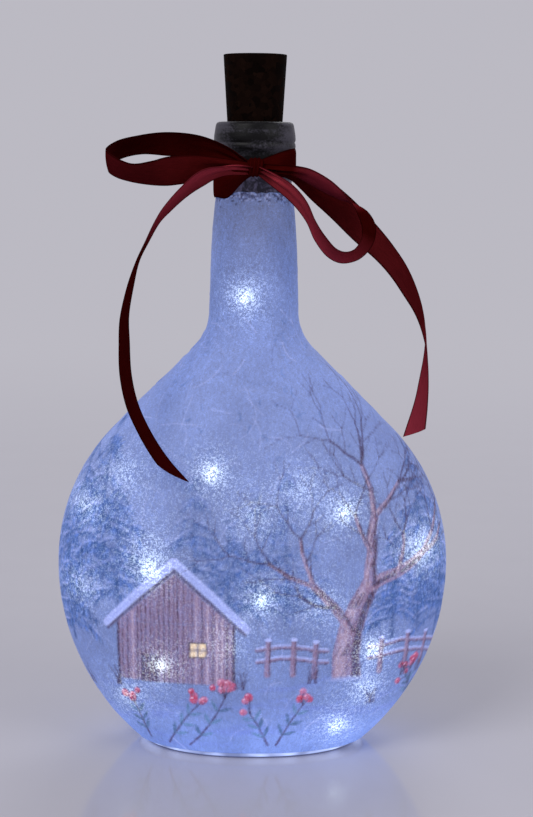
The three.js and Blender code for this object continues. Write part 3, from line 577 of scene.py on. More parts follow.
class Print:
    """The picture on one sheet: an ink colour and an amount of ink at every point of the paper.
    Places are in millimetres: along the paper from its middle, and up from the base."""

    def __init__(self, along, up, seed):
        self.along, self.up = along, up
        self.colour = np.zeros((*along.shape, 3))
        self.amount = np.zeros(along.shape)
        self.hand = random.Random(seed)

    def near(self, points, reach):
        """The rows of the paper that lie within reach of the points."""
        level = self.up[:, self.up.shape[1] // 2]
        heights = [y for _, y in points]
        low, high = np.searchsorted(level, (min(heights) - reach, max(heights) + reach))
        return slice(max(low - 2, 0), high + 2)

    def lay(self, rows, cover, colour):
        under = self.amount[rows] * (1 - cover)
        total = under + cover
        mixed = self.colour[rows] * under[..., None] + np.asarray(colour) * cover[..., None]
        self.colour[rows] = mixed / np.maximum(total, 1e-6)[..., None]
        self.amount[rows] = total

    def stroke(self, points, widths, colour, strength=0.8, soft=0.4):
        """A brush stroke through points; widths is one width for all of them, or a list."""
        widths = np.broadcast_to(widths, len(points))
        rows = self.near(points, widths.max() / 2 + soft)
        along, up = self.along[rows], self.up[rows]
        cover = np.zeros(along.shape)
        for (x0, y0), (x1, y1), w0, w1 in zip(points, points[1:], widths, widths[1:]):
            dx, dy = x1 - x0, y1 - y0
            t = np.clip(((along - x0) * dx + (up - y0) * dy) / max(dx * dx + dy * dy, 1e-9), 0, 1)
            gap = np.hypot(along - x0 - t * dx, up - y0 - t * dy)
            half = (w0 + (w1 - w0) * t) / 2
            cover = np.maximum(cover, np.clip((half + soft - gap) / (2 * soft), 0, 1))
        self.lay(rows, cover * strength, colour)

    def oval_at(self, centre, size, soft, turn=0.0):
        rows = self.near([centre], max(size))
        right, above = self.along[rows] - centre[0], self.up[rows] - centre[1]
        c, s = math.cos(turn), math.sin(turn)
        away = np.hypot((right * c + above * s) / size[0], (above * c - right * s) / size[1])
        return rows, np.clip((1 - away) / soft, 0, 1)

    def blot(self, centre, size, colour, strength=0.8, soft=0.3, turn=0.0):
        """An oval patch of ink; size is its two half lengths, and soft the share that fades."""
        rows, cover = self.oval_at(centre, size, soft, turn)
        self.lay(rows, cover * strength, colour)

    def snowed_over(self, centre, size, soft=0.3):
        """An oval kept bare of ink, as where snow lies over the foot of a thing."""
        rows, cover = self.oval_at(centre, size, soft)
        self.amount[rows] *= 1 - cover

    def patch(self, corners, colour, strength=0.8, soft=0.5):
        """A flat area with straight edges, its corners in order against the clock."""
        rows = self.near(corners, soft)
        inside = np.full(self.along[rows].shape, 1e9)
        for (x0, y0), (x1, y1) in zip(corners, [*corners[1:], corners[0]]):
            length = math.hypot(x1 - x0, y1 - y0)
            gap = ((x1 - x0) * (self.up[rows] - y0) - (y1 - y0) * (self.along[rows] - x0)) / length
            inside = np.minimum(inside, gap)
        self.lay(rows, np.clip(inside / (2 * soft) + 0.5, 0, 1) * strength, colour)

    def fir(self, x, foot, height, strength):
        """A snowy fir in blue-green: drooping boughs, each a brush of short dark needles."""
        hand = self.hand
        self.stroke([(x, foot), (x, foot + height)], [1.8, 0.4], fir_dark, strength, 0.7)
        for _ in range(round(height / 1.2)):
            share = hand.random() ** 1.2
            level = foot + height * (0.12 + 0.88 * share)
            side = hand.choice([-1, 1])
            reach = (height * 0.32 * (1 - share) + 1.5) * hand.uniform(0.5, 1.1)
            tip = (x + side * reach, level - reach * hand.uniform(0.15, 0.55))
            rib = smooth_path([(x, level), (x + side * reach * 0.5, level - reach * 0.08), tip], 5)
            self.stroke(rib, np.linspace(0.9, 0.5, len(rib)), fir_dark, strength * 0.8, 0.4)
            for _ in range(round(reach * 2.2)):
                px, py = rib[int(hand.random() * len(rib))]
                fall = hand.uniform(1.2, 3.2)
                end = (px + side * hand.uniform(-0.4, 2.2), py - fall * hand.choice([1, 1, -0.5]))
                ink = hand.choice([fir_dark, fir_dark, fir_mid, fir_blue])
                self.stroke([(px, py), end], [0.7, 0.35], ink, strength * hand.uniform(0.4, 1.0), 0.35)
            if hand.random() < 0.5:
                self.stroke(raised(rib[2:], 0.9), 0.6, snow_white, strength * 0.55, 0.4)

    def limb(self, x, y, heading, length, width, depth):
        """A bare branch that forks into thinner ones."""
        hand = self.hand
        points, widths = [(x, y)], [width]
        steps = 4
        for step in range(1, steps + 1):
            heading += hand.uniform(-0.22, 0.22) + 0.05 * (math.pi / 2 - heading)
            x, y = beyond(x, y, heading, length / steps)
            points.append((x, y))
            widths.append(width * (1 - 0.38 * step / steps))
        self.stroke(points, widths, bark_dark if width < 1.6 else bark, 0.9 if width > 0.9 else 0.75, 0.3)
        if width > 1.6:
            for side, share, ink, strength, soft in [
                (-0.22, 0.35, bark_pale, 0.5, 0.4), (0.34, 0.28, bark_dark, 0.85, 0.35),
            ]:
                edge = [(px + w * side, py) for (px, py), w in zip(points, widths)]
                self.stroke(edge, [w * share for w in widths], ink, strength, soft)
            for _ in range(round(width * 2.5)):
                px, py = hand.choice(points[:-1])
                px += hand.uniform(-0.42, 0.42) * width
                end = beyond(px, py, heading, hand.uniform(3, 8))
                self.stroke([(px, py), end], [0.5, 0.3], bark_dark, hand.uniform(0.4, 0.85), 0.25)
        if depth == 0:
            return
        for fork in range(hand.choice([2, 2, 3])):
            turn = hand.uniform(0.25, 0.75) * (1 if fork % 2 else -1)
            self.limb(x, y, heading + turn, length * hand.uniform(0.62, 0.85), widths[-1] * 0.72, depth - 1)
        if depth > 1:
            px, py = points[2]
            turn = hand.choice([-1, 1]) * hand.uniform(0.6, 1.0)
            self.limb(px, py, heading + turn, length * 0.6, widths[2] * 0.45, depth - 2)

    def berry(self, x, y, radius):
        """A round red berry, dark below and with a light on it."""
        ink = self.hand.choice([berry_red, berry_red, berry_pink])
        for right, up, half_length, half_height, colour, strength, soft in [
            (0, 0, 1, 1.05, ink, 0.92, 0.35),
            (0.3, -0.35, 0.7, 0.6, berry_dark, 0.45, 0.8),
            (-0.32, 0.35, 0.38, 0.3, berry_light, 0.8, 0.8),
        ]:
            size = (radius * half_length, radius * half_height)
            self.blot((x + radius * right, y + radius * up), size, colour, strength, soft)
        self.blot((x + radius * 0.1, y - radius * 0.8), (0.45, 0.45), bark_dark, 0.8, 0.6)

    def sprig(self, x, y, heading, length, berries, droop=0.0):
        """A twig with narrow leaves in pairs and a bunch of red berries on stalks."""
        hand = self.hand
        turns = [hand.uniform(-0.1, 0.1) - droop for _ in range(8)]
        points = wander(x, y, heading, turns, length / 8)
        heading += sum(turns)
        x, y = points[-1]
        self.stroke(points, np.linspace(0.9, 0.55, 9), bark_dark, 0.85, 0.3)
        for px, py in points[2:8:2]:
            for side in (-1, 1):
                lean = heading + side * hand.uniform(0.6, 0.9)
                ink = hand.choice([leaf, leaf_dark])
                self.blot(beyond(px, py, lean, 2.6), (2.7, 0.95), ink, 0.75, 0.45, lean)
                self.stroke([(px, py), beyond(px, py, lean, 5)], [0.4, 0.3], leaf_dark, 0.55, 0.3)
        for _ in range(berries):
            swing = hand.uniform(-1.25, 1.25)
            end = beyond(x, y, heading + swing, hand.uniform(2.2, 6.5))
            self.stroke([(x, y), end], [0.5, 0.4], bark_dark, 0.7, 0.3)
            self.berry(*end, hand.uniform(1.35, 1.9))

    def rails(self, start, end, foot, posts):
        """A split-rail fence, half sunk in the snow."""
        hand = self.hand
        for rail in (4.2, 8.4):
            wobble = [(x, foot(x) + rail + hand.uniform(-0.5, 0.5)) for x in np.linspace(start, end, 7)]
            self.stroke(wobble, 1.3, bark, 0.8, 0.35)
            self.stroke(raised(wobble, -0.5), 0.5, bark_dark, 0.75, 0.3)
            self.stroke(raised(wobble, 0.9), 0.8, snow_white, 0.75, 0.35)
        for post in range(posts):
            x = start + (end - start) * (post + 0.5) / posts + hand.uniform(-0.6, 0.6)
            y = foot(x)
            self.stroke([(x, y - 1.5), (x + 0.4, y + 11)], [2.2, 1.8], bark, 0.9, 0.35)
            self.stroke([(x + 0.8, y - 1.5), (x + 1.1, y + 11)], [0.6, 0.5], bark_dark, 0.8, 0.3)
            self.blot((x + 0.4, y + 11.6), (1.7, 1.0), snow_white, 0.9, 0.5)

    def hut(self, x, foot, width, height):
        """A plank hut with a snowed-in roof and one lit window."""
        hand = self.hand
        left, right = x - width / 2, x + width / 2
        eaves, ridge = foot + height * 0.52, foot + height
        self.patch(oblong(left, foot, right, eaves), bark, 0.85)
        self.patch([(left, eaves), (right, eaves), (x, ridge - 1)], bark, 0.85)
        plank = left
        while plank < right:
            top = ridge - 2 - abs(plank - x) / (width / 2) * (ridge - eaves)
            ink = hand.choice([bark_dark, bark_dark, bark_pale])
            self.stroke([(plank, foot), (plank + 0.2, top)], 0.5, ink, hand.uniform(0.5, 0.95), 0.28)
            plank += hand.uniform(1.3, 2.1)
        for edge in (left, right):
            self.stroke([(edge, foot), (edge, eaves)], 1.0, bark_dark, 0.85, 0.3)
        for side in (-1, 1):
            roof = [
                (x, ridge + 0.6), (x + side * width * 0.3, ridge - (ridge - eaves) * 0.55 + 0.8),
                (x + side * (width / 2 + 4), eaves - 1.4),
            ]
            self.stroke(roof, [4.6, 4.4, 3.4], snow_white, 0.95, 0.5)
            self.stroke(raised(roof, -2.1), [1.4, 1.4, 1.0], bark_dark, 0.9, 0.4)
            self.stroke(raised(roof, 0.5), [1.0, 1.2, 0.8], snow_shade, 0.35, 0.8)
        pane_x, pane_y = x + width * 0.2, foot + height * 0.3
        half_pane, half_rise = 3, 2.8
        low, high = pane_y - half_rise, pane_y + half_rise
        self.patch(oblong(pane_x - half_pane, low, pane_x + half_pane, high), window_light, 0.95, 0.35)
        for share in (-1, 0, 1):
            upright, level = pane_x + share * half_pane, pane_y + share * half_rise
            self.stroke([(upright, low), (upright, high)], 0.6, bark_dark, 0.85, 0.25)
            ends = [(pane_x - half_pane, level), (pane_x + half_pane, level)]
            self.stroke(ends, 0.6, bark_dark, 0.85, 0.25)
        door = x - width * 0.22
        self.patch(oblong(door - 3, foot, door + 3, foot + 10.5), bark_dark, 0.85, 0.4)
        for board in (-1.4, 0.1, 1.6):
            self.stroke([(door + board, foot), (door + board, foot + 10)], 0.4, bark, 0.7, 0.25)

    def flake(self, x, y, reach):
        for arm in range(6):
            tip = beyond(x, y, arm * math.pi / 3 + 0.3, reach)
            self.stroke([(x, y), tip], [0.5, 0.3], snow_white, 0.7, 0.3)

    def drift(self, x, y, reach):
        """A brushed shadow on the snow."""
        hand = self.hand
        points = [(x + reach * (k / 5 - 0.5), y + hand.uniform(-0.8, 0.8)) for k in range(6)]
        self.stroke(points, [0.3, 0.9, 1.3, 1.1, 0.7, 0.2], snow_shade, hand.uniform(0.2, 0.5), 0.9)

    def grass(self, x, y, blades):
        """Dry blades of grass that stand out of the snow."""
        hand = self.hand
        for _ in range(blades):
            lean = hand.uniform(-0.5, 0.5)
            tall = hand.uniform(3, 8)
            tip = (x + hand.uniform(-2, 2) + lean * tall, y + tall)
            root = (x + hand.uniform(-2, 2), y)
            bend = ((root[0] + tip[0]) / 2 - lean * 0.8, (root[1] + tip[1]) / 2 + 0.6)
            self.stroke([root, bend, tip], [0.55, 0.45, 0.3], bark_dark, 0.6, 0.28)

    def fibres(self, count):
        """Long fibres in the paper itself, some dark and some pale, and short curled dark ones in
        the bare part over the shoulder."""
        hand = self.hand
        top = neck_top_height / mm
        inks = [(fibre_pale, 0.3), (fibre_pale, 0.22), (fibre_dark, 0.3), (fir_mid, 0.25)]
        for _ in range(count):
            x, y = hand.uniform(-88, 88), hand.uniform(6, top - 40)
            heading, turn = hand.uniform(0, math.tau), hand.uniform(-0.25, 0.25)
            turns = [turn + hand.uniform(-0.2, 0.2) for _ in range(hand.randint(3, 9))]
            ink, strength = hand.choice(inks)
            self.stroke(wander(x, y, heading, turns, 1.7), hand.uniform(0.25, 0.5), ink, strength, 0.28)
        for _ in range(count // 4):
            x, y = hand.uniform(-56, 56), hand.uniform(96, 158)
            heading, turn = hand.uniform(0, math.tau), hand.uniform(-0.9, 0.9)
            curl = wander(x, y, heading, [turn] * hand.randint(1, 4), 0.8)
            self.stroke(curl, hand.uniform(0.3, 0.6), fir_mid, hand.uniform(0.2, 0.7), 0.28)


fir_dark = (0.02, 0.06, 0.2)
fir_mid = (0.05, 0.12, 0.32)
fir_blue = (0.1, 0.2, 0.58)
snow_white = (0.42, 0.49, 0.86)
snow_shade = (0.13, 0.18, 0.5)
bark = (0.25, 0.16, 0.25)
bark_pale = (0.5, 0.38, 0.48)
bark_dark = (0.04, 0.018, 0.06)
berry_red = (0.5, 0.05, 0.11)
berry_pink = (0.52, 0.13, 0.22)
berry_dark = (0.2, 0.015, 0.05)
berry_light = (0.85, 0.55, 0.72)
leaf = (0.1, 0.2, 0.34)
leaf_dark = (0.04, 0.09, 0.17)
window_light = (0.85, 0.66, 0.42)
fibre_pale = (0.5, 0.56, 0.9)
fibre_dark = (0.08, 0.1, 0.24)
torn_dark = (0.035, 0.035, 0.1)


def snow_line(x):
    """How high the snow lies along the front sheet."""
    return 33 + 3 * math.sin(x / 21) + 2 * math.sin(x / 9 + 1)


def print_front(picture):
    hand = picture.hand
    for x, foot, height, strength in [
        (-78, 48, 52, 0.5), (-66, 56, 66, 0.6), (-54, 62, 62, 0.7), (-70, 42, 44, 0.85), (-48, 56, 44, 0.6),
        (74, 42, 52, 0.7), (62, 50, 66, 0.6), (51, 46, 40, 0.7), (2, 54, 44, 0.35), (12, 52, 54, 0.3),
        (-8, 56, 36, 0.4), (-20, 66, 40, 0.35),
    ]:
        picture.fir(x, foot, height, strength)
    for _ in range(46):
        x = hand.uniform(-78, 78)
        picture.drift(x, snow_line(x) - hand.uniform(2, 24), hand.uniform(8, 26))
    hut_x, tree_x = -27, 34
    picture.hut(hut_x, snow_line(hut_x) + 2, 42, 43)
    picture.limb(tree_x, snow_line(tree_x) - 2, 1.55, 36, 11, 6)
    picture.snowed_over((tree_x, snow_line(tree_x) - 7), (15, 6.5))
    picture.blot((tree_x, snow_line(tree_x) - 2.2), (9, 1.2), snow_white, 0.5, 0.9)
    picture.rails(2, 27, snow_line, 3)
    picture.rails(42, 82, snow_line, 4)
    for x, y, heading, length, berries, droop in [
        (-30, 5, 1.25, 20, 5, 0.04), (-22, 5, 0.9, 24, 6, -0.02), (-38, 6, 1.75, 15, 4, -0.02),
        (6, 6, 1.9, 15, 4, -0.04), (9, 6, 1.1, 19, 5, 0.02), (70, 14, 1.9, 18, 4, 0.0),
        (62, 10, 1.5, 22, 5, -0.03),
    ]:
        picture.sprig(x, y, heading, length, berries, droop)
    for x in (-64, -48, -4, 22, 44, 58, 66):
        picture.grass(x, snow_line(x) - hand.uniform(2, 14), 9)


def print_back(picture):
    hand = picture.hand
    for x in range(-76, 80, 12):
        foot = 40 + hand.uniform(-6, 8)
        picture.fir(x + hand.uniform(-4, 4), foot, hand.uniform(34, 68), hand.uniform(0.25, 0.55))
    for _ in range(40):
        picture.drift(hand.uniform(-78, 78), hand.uniform(8, 36), hand.uniform(8, 26))
    picture.limb(-24, 32, 1.6, 32, 7, 5)
    picture.rails(-70, 66, snow_line, 9)
    for x, heading in ((-40, 1.3), (12, 1.8), (20, 1.2), (48, 1.7)):
        picture.sprig(x, 6, heading, 18, 5)
    for _ in range(24):
        picture.flake(hand.uniform(-60, 60), hand.uniform(70, 190), hand.uniform(0.7, 1.5))


def torn_edge(picture):
    """The crumpled strip along the paper's top edge, with bare dark glass showing through."""
    hand = picture.hand
    top = neck_top_height / mm
    reach = math.pi / 2 * neck_top_radius / mm
    for _ in range(260):
        x, y = hand.uniform(-reach, reach), top - abs(hand.gauss(0, 1.5)) - 0.2
        size = (hand.uniform(0.4, 1.3), hand.uniform(0.3, 0.6))
        ink, strength = hand.choice([(torn_dark, 0.95), (torn_dark, 0.7), (fibre_pale, 0.5)])
        picture.blot((x, y), size, ink, strength, 0.6, hand.uniform(-0.6, 0.6))


def crease(along, up, place, lean, bow):
    """How far every point of the paper lies along a bowed line through a place, and off it."""
    right, above = along - place[0], up - place[1]
    run = right * math.cos(lean) + above * math.sin(lean)
    off = above * math.cos(lean) - right * math.sin(lean) + bow * run ** 2
    return run, off


def crumpled(along, up, seed):
    """How far the paper stands off the glass, in millimetres: a soft swell, thin ridges where it was
    pinched, and steps where it folds over itself on the shoulder."""
    swell = 0.11 * (smooth_noise(along, up, 7.0, seed) - 0.5)
    swell += 0.07 * (smooth_noise(along, up, 2.6, seed + 1) - 0.5)
    ridges, folds = np.zeros_like(up), np.zeros_like(up)
    ridge_count, ridge_width, ridge_rise = 70, 0.55, 0.12
    fold_count, fold_edge, fold_width, fold_rise = 26, 0.35, 3.5, 0.22
    hand = random.Random(seed + 2)
    for _ in range(ridge_count):
        place, lean = (hand.uniform(-85, 85), hand.uniform(10, 196)), hand.uniform(0, math.pi)
        half = hand.uniform(3, 10)
        run, off = crease(along, up, place, lean, 0.02 * hand.uniform(-1, 1))
        pinched = np.exp(-(off / ridge_width) ** 2)
        ridges = np.maximum(ridges, pinched * np.clip(1.3 - (run / half) ** 2, 0, 1))
    for _ in range(fold_count):
        place = (hand.choice((-1, 1)) * hand.uniform(14, 56), hand.uniform(100, 150))
        lean, half = hand.uniform(0.2, 2.9), hand.uniform(8, 16)
        run, off = crease(along, up, place, lean, 0.012 * hand.uniform(-1, 1))
        step_up = (1 + np.tanh(off / fold_edge)) * np.exp(-(off / fold_width) ** 2)
        folds = np.maximum(folds, step_up * np.clip(1.2 - (run / half) ** 2, 0, 1))
    return swell + ridge_rise * ridges + fold_rise * folds


def paper_sheet(name, side, draw, seed):
    """One sheet, in front where the side is -1 and behind where it is 1: rows of points on the skin,
    the printed picture, and the creases."""
    turns = np.linspace(math.pi, 2 * math.pi, 721) if side < 0 else np.linspace(0, math.pi, 721)
    rows, along = [], []
    shares = np.linspace(0, 1, paper_columns)
    for height in np.linspace(paper_foot, neck_top_height, paper_rows):
        ring = skin_ring(height, paper_offset, turns)
        arc = run_along(ring)
        level = 0.5 * arc / arc[-1] + 0.5 * np.abs(ring[:, 0] - ring[0, 0]) / (2 * abs(ring[0, 0]))
        turn = np.interp(shares, level, turns)
        rows.append(skin_ring(height, paper_offset, turn))
        along.append(np.interp(shares, level, arc) - arc[-1] / 2)
    rows, along = np.array(rows), np.array(along) / mm
    up = rows[..., 2] / mm
    picture = Print(along, up, seed)
    picture.fibres(300)
    draw(picture)
    torn_edge(picture)

    out = unit(rows * (1, 1, 0))
    rows += out * (crumpled(along, up, seed) * mm)[..., None]
    top_share = np.clip((rows[..., 2] - ragged_from) / (neck_top_height - ragged_from), 0, 1) ** 3
    rows[..., 2] -= top_share * ragged_by * smooth_noise(along, up * 0, 1.6, seed + 3)
    rows[..., 1] += side * seam_gap / 2

    inner = rows - out * (paper_offset - paper_under)
    framed = np.zeros((paper_rows + 2, paper_columns + 2, 3))
    framed[1:-1, 1:-1] = rows
    framed[0, 1:-1], framed[-1, 1:-1] = inner[0], inner[-1]
    framed[:, 0], framed[:, -1] = framed[:, 1], framed[:, -2]
    framed[1:-1, 0], framed[1:-1, -1] = inner[:, 0], inner[:, -1]
    sheet = laid_up(name, framed)
    printed = np.zeros((paper_rows + 2, paper_columns + 2, 4))
    printed[1:-1, 1:-1, :3], printed[1:-1, 1:-1, 3] = picture.colour, picture.amount
    sheet.data.attributes.new("print", "FLOAT_COLOR", "POINT").data.foreach_set("color", printed.ravel())
    return sheet


front_paper = paper_sheet("front_rice_paper", -1, print_front, 11)
back_paper = paper_sheet("back_rice_paper", 1, print_back, 29)


def paper_finish(name, side):
    """Rice paper lit from behind, with the light painted into its emission. Each light makes a painted spot
    where it is nearest, and a wide, faint one through the other side. The deeper a light lies, the
    nearer its spot stands to the middle of the view."""
    finish = Finish(name, Roughness=0.62, IOR=1.4, Emission_Strength=1.0)
    place = finish.place()
    ink = finish.node("VertexColor", {"layer_name": "print"})
    amount = Link(finish, ink.socket.node.outputs["Alpha"])
    mottle = finish.noise(place, 42, 3, 0.6)
    grain = finish.noise(place, 1420, 2, 0.65, 1.3)
    # Thin crinkle lines in the paper; below they are added to the glow as painted highlights along the
    # creases.
    creases = abs(finish.noise(place, 170, 3, 0.62, 1.6) - 0.5)
    creases = finish.between(creases, 0.0, 0.022, 1.0, 0.0) * finish.between(mottle, 0.44, 0.6)
    dabs = finish.noise(finish.scaled(place, (1, 1, 0.4), (0, 0.6, 0)), 850, 3, 0.65, 1.1)
    amount = amount * finish.between(dabs, 0.36, 0.6, 0.72, 1.0)

    flat = finish.node("VectorMath", {"operation": "MULTIPLY"}, {0: place, 1: (1, 0, 1)})
    heart_radius = 2.4 * mm
    spot_radius, spot_spread = 6.8, 0.06
    spot_strength, fade_depth = 1.6, 50
    drawn_in_per_mm = 0.0012
    close_to_paper = 14
    spots, hearts = [], []
    for light in lights:
        low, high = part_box(light.name)
        centre = (low + high) / 2
        depth = abs(centre.y - side * half_depth(centre.z, paper_offset)) / mm
        lean = 1 - drawn_in_per_mm * depth
        spot = (centre.x * lean, 0, camera_height + (centre.z - camera_height) * lean)
        away = finish.node("VectorMath", {"operation": "DISTANCE"}, {0: flat, 1: spot}, output=1)
        radius = (spot_radius + spot_spread * depth) * mm
        strength = spot_strength / (1 + depth / fade_depth)
        spots.append(((away * (1 / radius)) ** 2 + 1) ** -2 * strength)
        if depth < close_to_paper:
            hearts.append(((away * (1 / heart_radius)) ** 2 * -1).worked("EXPONENT"))
    glow = sum(spots[1:], spots[0]).worked("MINIMUM", 2.4)
    core = sum(hearts[1:], hearts[0])
    sparkle = finish.between(grain + glow * 0.06, 0.53, 0.64)
    height = finish.height_of(place)
    # The general level of the painted glow: dimmer towards the top of the neck under the stopper, brighter
    # near the foot, uneven with noise and the dabs, and with painted highlights on the creases.
    general_glow = finish.between(height, 165 * mm, 200 * mm, 1.0, 0.5)
    general_glow = general_glow * finish.between(height, 6 * mm, 26 * mm, 1.6, 1.0)
    general_glow = general_glow * finish.between(finish.noise(place, 16, 2), 0.3, 0.7, 0.9, 1.1)
    general_glow = general_glow * finish.between(dabs, 0.3, 0.7, 1.14, 0.86) + creases * 0.3
    lit = general_glow + glow * 0.24 + (grain - 0.5) * (
        glow * 2 + finish.between(height, 118 * mm, 138 * mm, 0.7, 1.6)
    )

    mottled = finish.between(mottle, 0.35, 0.68)
    paper_tone = finish.blend((0.068, 0.122, 0.36), (0.092, 0.155, 0.43), mottled)
    tone = finish.blend(paper_tone, finish.tinted(ink, (0.72, 0.72, 0.85, 1)), amount)
    shine = finish.tinted(tone, lit)
    hot = finish.tinted((0.76, 0.88, 0.84), core * (0.15 + sparkle * 0.6) + glow ** 0.85 * sparkle * 0.58)
    finish.feed(Emission_Color=finish.added(shine, hot))
    paper_base = finish.blend((0.135, 0.14, 0.195), (0.165, 0.17, 0.235), mottle)
    finish.feed(Base_Color=finish.blend(paper_base, finish.tinted(ink, (0.5, 0.5, 0.5, 1)), amount))
    finish.bump(dabs * 0.5 + grain, 0.12 * mm, 0.8)
    return finish


for sheet, side, node in ((front_paper, -1, "front_paper"), (back_paper, 1, "back_paper")):
    paper_finish(sheet.name + "_finish", side).onto(sheet)
    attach(sheet, "bottle")
    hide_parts(node)


# The bow is one length of dark red satin ribbon, ten millimetres wide and woven with a plain edge:
# a band round the neck, a knot, two loops and two tails with their ends cut on the slant.
ribbon_width = 10 * mm
ribbon_thickness = 0.25 * mm
ribbon_crown = 0.45 * mm
ribbon_wave = 0.15 * mm
wave_length = 9 * mm
pleat_depth = 1.1 * mm
row_step = 0.8 * mm
band_middle = 208.5 * mm
band_radius = 14.5 * mm
band_tilt = math.radians(16)
bow_middle = np.array([2.5, -18.8, 209.8]) * mm
knot_centre = np.array([0.1, -17.1, 210.5]) * mm

satin = Finish(
    "dark_red_satin", IOR=1.16, Specular_IOR_Level=0.0, Metallic=0.22, Specular_Tint=(0.5, 0.1, 0.11, 1),
)
cloth = satin.node("TexCoord", output=2)
threads = satin.noise(satin.scaled(cloth, (90, 2.5, 1)), 1.0, 3, 0.6)
weft = satin.node("TexWave", {"bands_direction": "Y"}, {"Vector": cloth, "Scale": 22.0, "Distortion": 0.6})
folds = satin.noise(satin.place(), 60, 2)
lit_side = satin.node("Attribute", {"attribute_name": "lit_side"}, output=2)
red = satin.blend((0.024, 0.001, 0.0008), (0.05, 0.0024, 0.002), satin.between(threads, 0.3, 0.7))
# Soft patches of darker red where that noise is high: painted shade that stands in for shallow folds in the
# cloth.
red = satin.blend(red, (0.016, 0.0006, 0.0006), satin.between(folds, 0.4, 0.75, 0, 0.5))
red = satin.blend(red, (0.31, 0.032, 0.047), lit_side * satin.between(threads, 0.25, 0.7, 0.6, 1.0))
edge = satin.between(abs(satin.across_of(cloth)), 0.43, 0.47)
satin.feed(
    Base_Color=satin.blend(red, (0.012, 0.0006, 0.0006), edge * 0.7),
    Roughness=satin.between(threads, 0.25, 0.75, 0.36, 0.5) + edge * 0.2,
)
satin.bump(threads * 0.7 + weft * 0.3 + edge * 0.8, 0.05 * mm, 0.6)


def cloth_map(piece, columns, along):
    """Lays a UV map on a strip, in centimetres across and along the cloth."""
    layer = piece.data.uv_layers.new(name="cloth")
    corner = np.zeros(len(piece.data.loops), int)
    piece.data.loops.foreach_get("vertex_index", corner)
    flat = np.stack(np.broadcast_arrays(columns / 2, along), axis=-1).reshape(-1, 2)
    layer.data.foreach_set("uv", flat[corner].ravel())


def give_thickness(piece):
    take_up(piece)
    wall = piece.modifiers.new("thickness", "SOLIDIFY")
    wall.thickness, wall.offset = ribbon_thickness, 0
    bpy.ops.object.modifier_apply(modifier=wall.name)
    bpy.ops.object.shade_smooth_by_angle(angle=math.radians(50))
    return piece


def satin_strip(name, stations, lit, cut=0.0, seed=0):
    """A strip of ribbon through stations [right, back, up, width, lie of the width as x, y, z], in
    ribbon widths from the bow's middle. The last end is cut on the slant by the cut, in ribbon
    widths. The lit list says where along it the satin catches the lamp's light, how much, and how
    much more on one edge than on the other."""
    stations = np.array(stations, dtype=float)
    centres = smooth_path(bow_middle + stations[:, :3] * ribbon_width, 10)
    widths = smooth_path(stations[:, 3:4] * ribbon_width, 10, even=True)[:, 0]
    lies = smooth_path(unit(stations[:, 4:]), 10, even=True)
    along = unit(np.gradient(centres, axis=0))
    lies = unit(lies - along * np.sum(lies * along, axis=1, keepdims=True))
    through = np.cross(along, lies)
    length = run_along(centres)
    columns = np.linspace(-1, 1, 15)
    reach = length[-1] - abs(cut) * ribbon_width * (1 + columns * math.copysign(1, cut)) / 2
    wanted = np.linspace(0, 1, round(length[-1] / row_step))[:, None] * reach[None, :]

    def at(values):
        return np.stack([np.interp(wanted, length, values[:, k]) for k in range(values.shape[1])], axis=-1)

    half = np.interp(wanted, length, widths) / 2
    phase = random.Random(seed).uniform(0, 6)
    gathered = np.clip(1 - np.interp(wanted, length, widths) / ribbon_width, 0, 1)
    rise = ribbon_crown * (1 - columns ** 2)[None, :] + ribbon_wave * np.sin(wanted / wave_length + phase)
    pleats = gathered * pleat_depth * np.cos(columns * 7 + phase)[None, :]
    rows = at(centres) + at(lies) * (columns * half)[..., None] + at(through) * (rise + pleats)[..., None]
    strip = laid_up(name, rows)
    cloth_map(strip, columns, wanted * 100)
    shares, amounts, slants = zip(*lit)
    caught = np.interp(wanted / length[-1], shares, amounts)
    caught = caught * (1 + columns * np.interp(wanted / length[-1], shares, slants))
    strip.data.attributes.new("lit_side", "FLOAT", "POINT").data.foreach_set("value", caught.ravel())
    return give_thickness(strip), length[-1]


left_loop = [
    [-0.35, 0.22, 0.06, 0.3, 0, -0.5, 1], [-1.25, 0.33, 0.54, 0.65, 0, -0.6, 1],
    [-2.12, 0.6, 0.79, 0.9, 0, -0.6, 0.8], [-3.17, 0.8, 0.84, 1, 0, -0.58, 0.82],
    [-4.23, 0.9, 0.8, 1, 0, -0.76, 0.65], [-4.99, 0.8, 0.61, 1, 0, -0.76, 0.65],
    [-5.35, 0.5, 0.31, 1, 0, -0.7, 0.69], [-5.04, 0.1, 0.05, 1, 0, -0.7, 0.7],
    [-4.36, -0.16, -0.17, 1, 0, -0.76, 0.65], [-3.6, -0.3, -0.15, 1, 0, -0.5, 0.86],
    [-3.05, -0.35, -0.06, 1, 0, -0.15, 0.98], [-2.1, -0.35, 0.03, 0.92, 0, -0.2, 0.97],
    [-1.24, -0.2, 0.07, 0.65, 0, -0.5, 1], [-0.35, 0.08, 0.05, 0.3, 0, -0.4, 1],
]
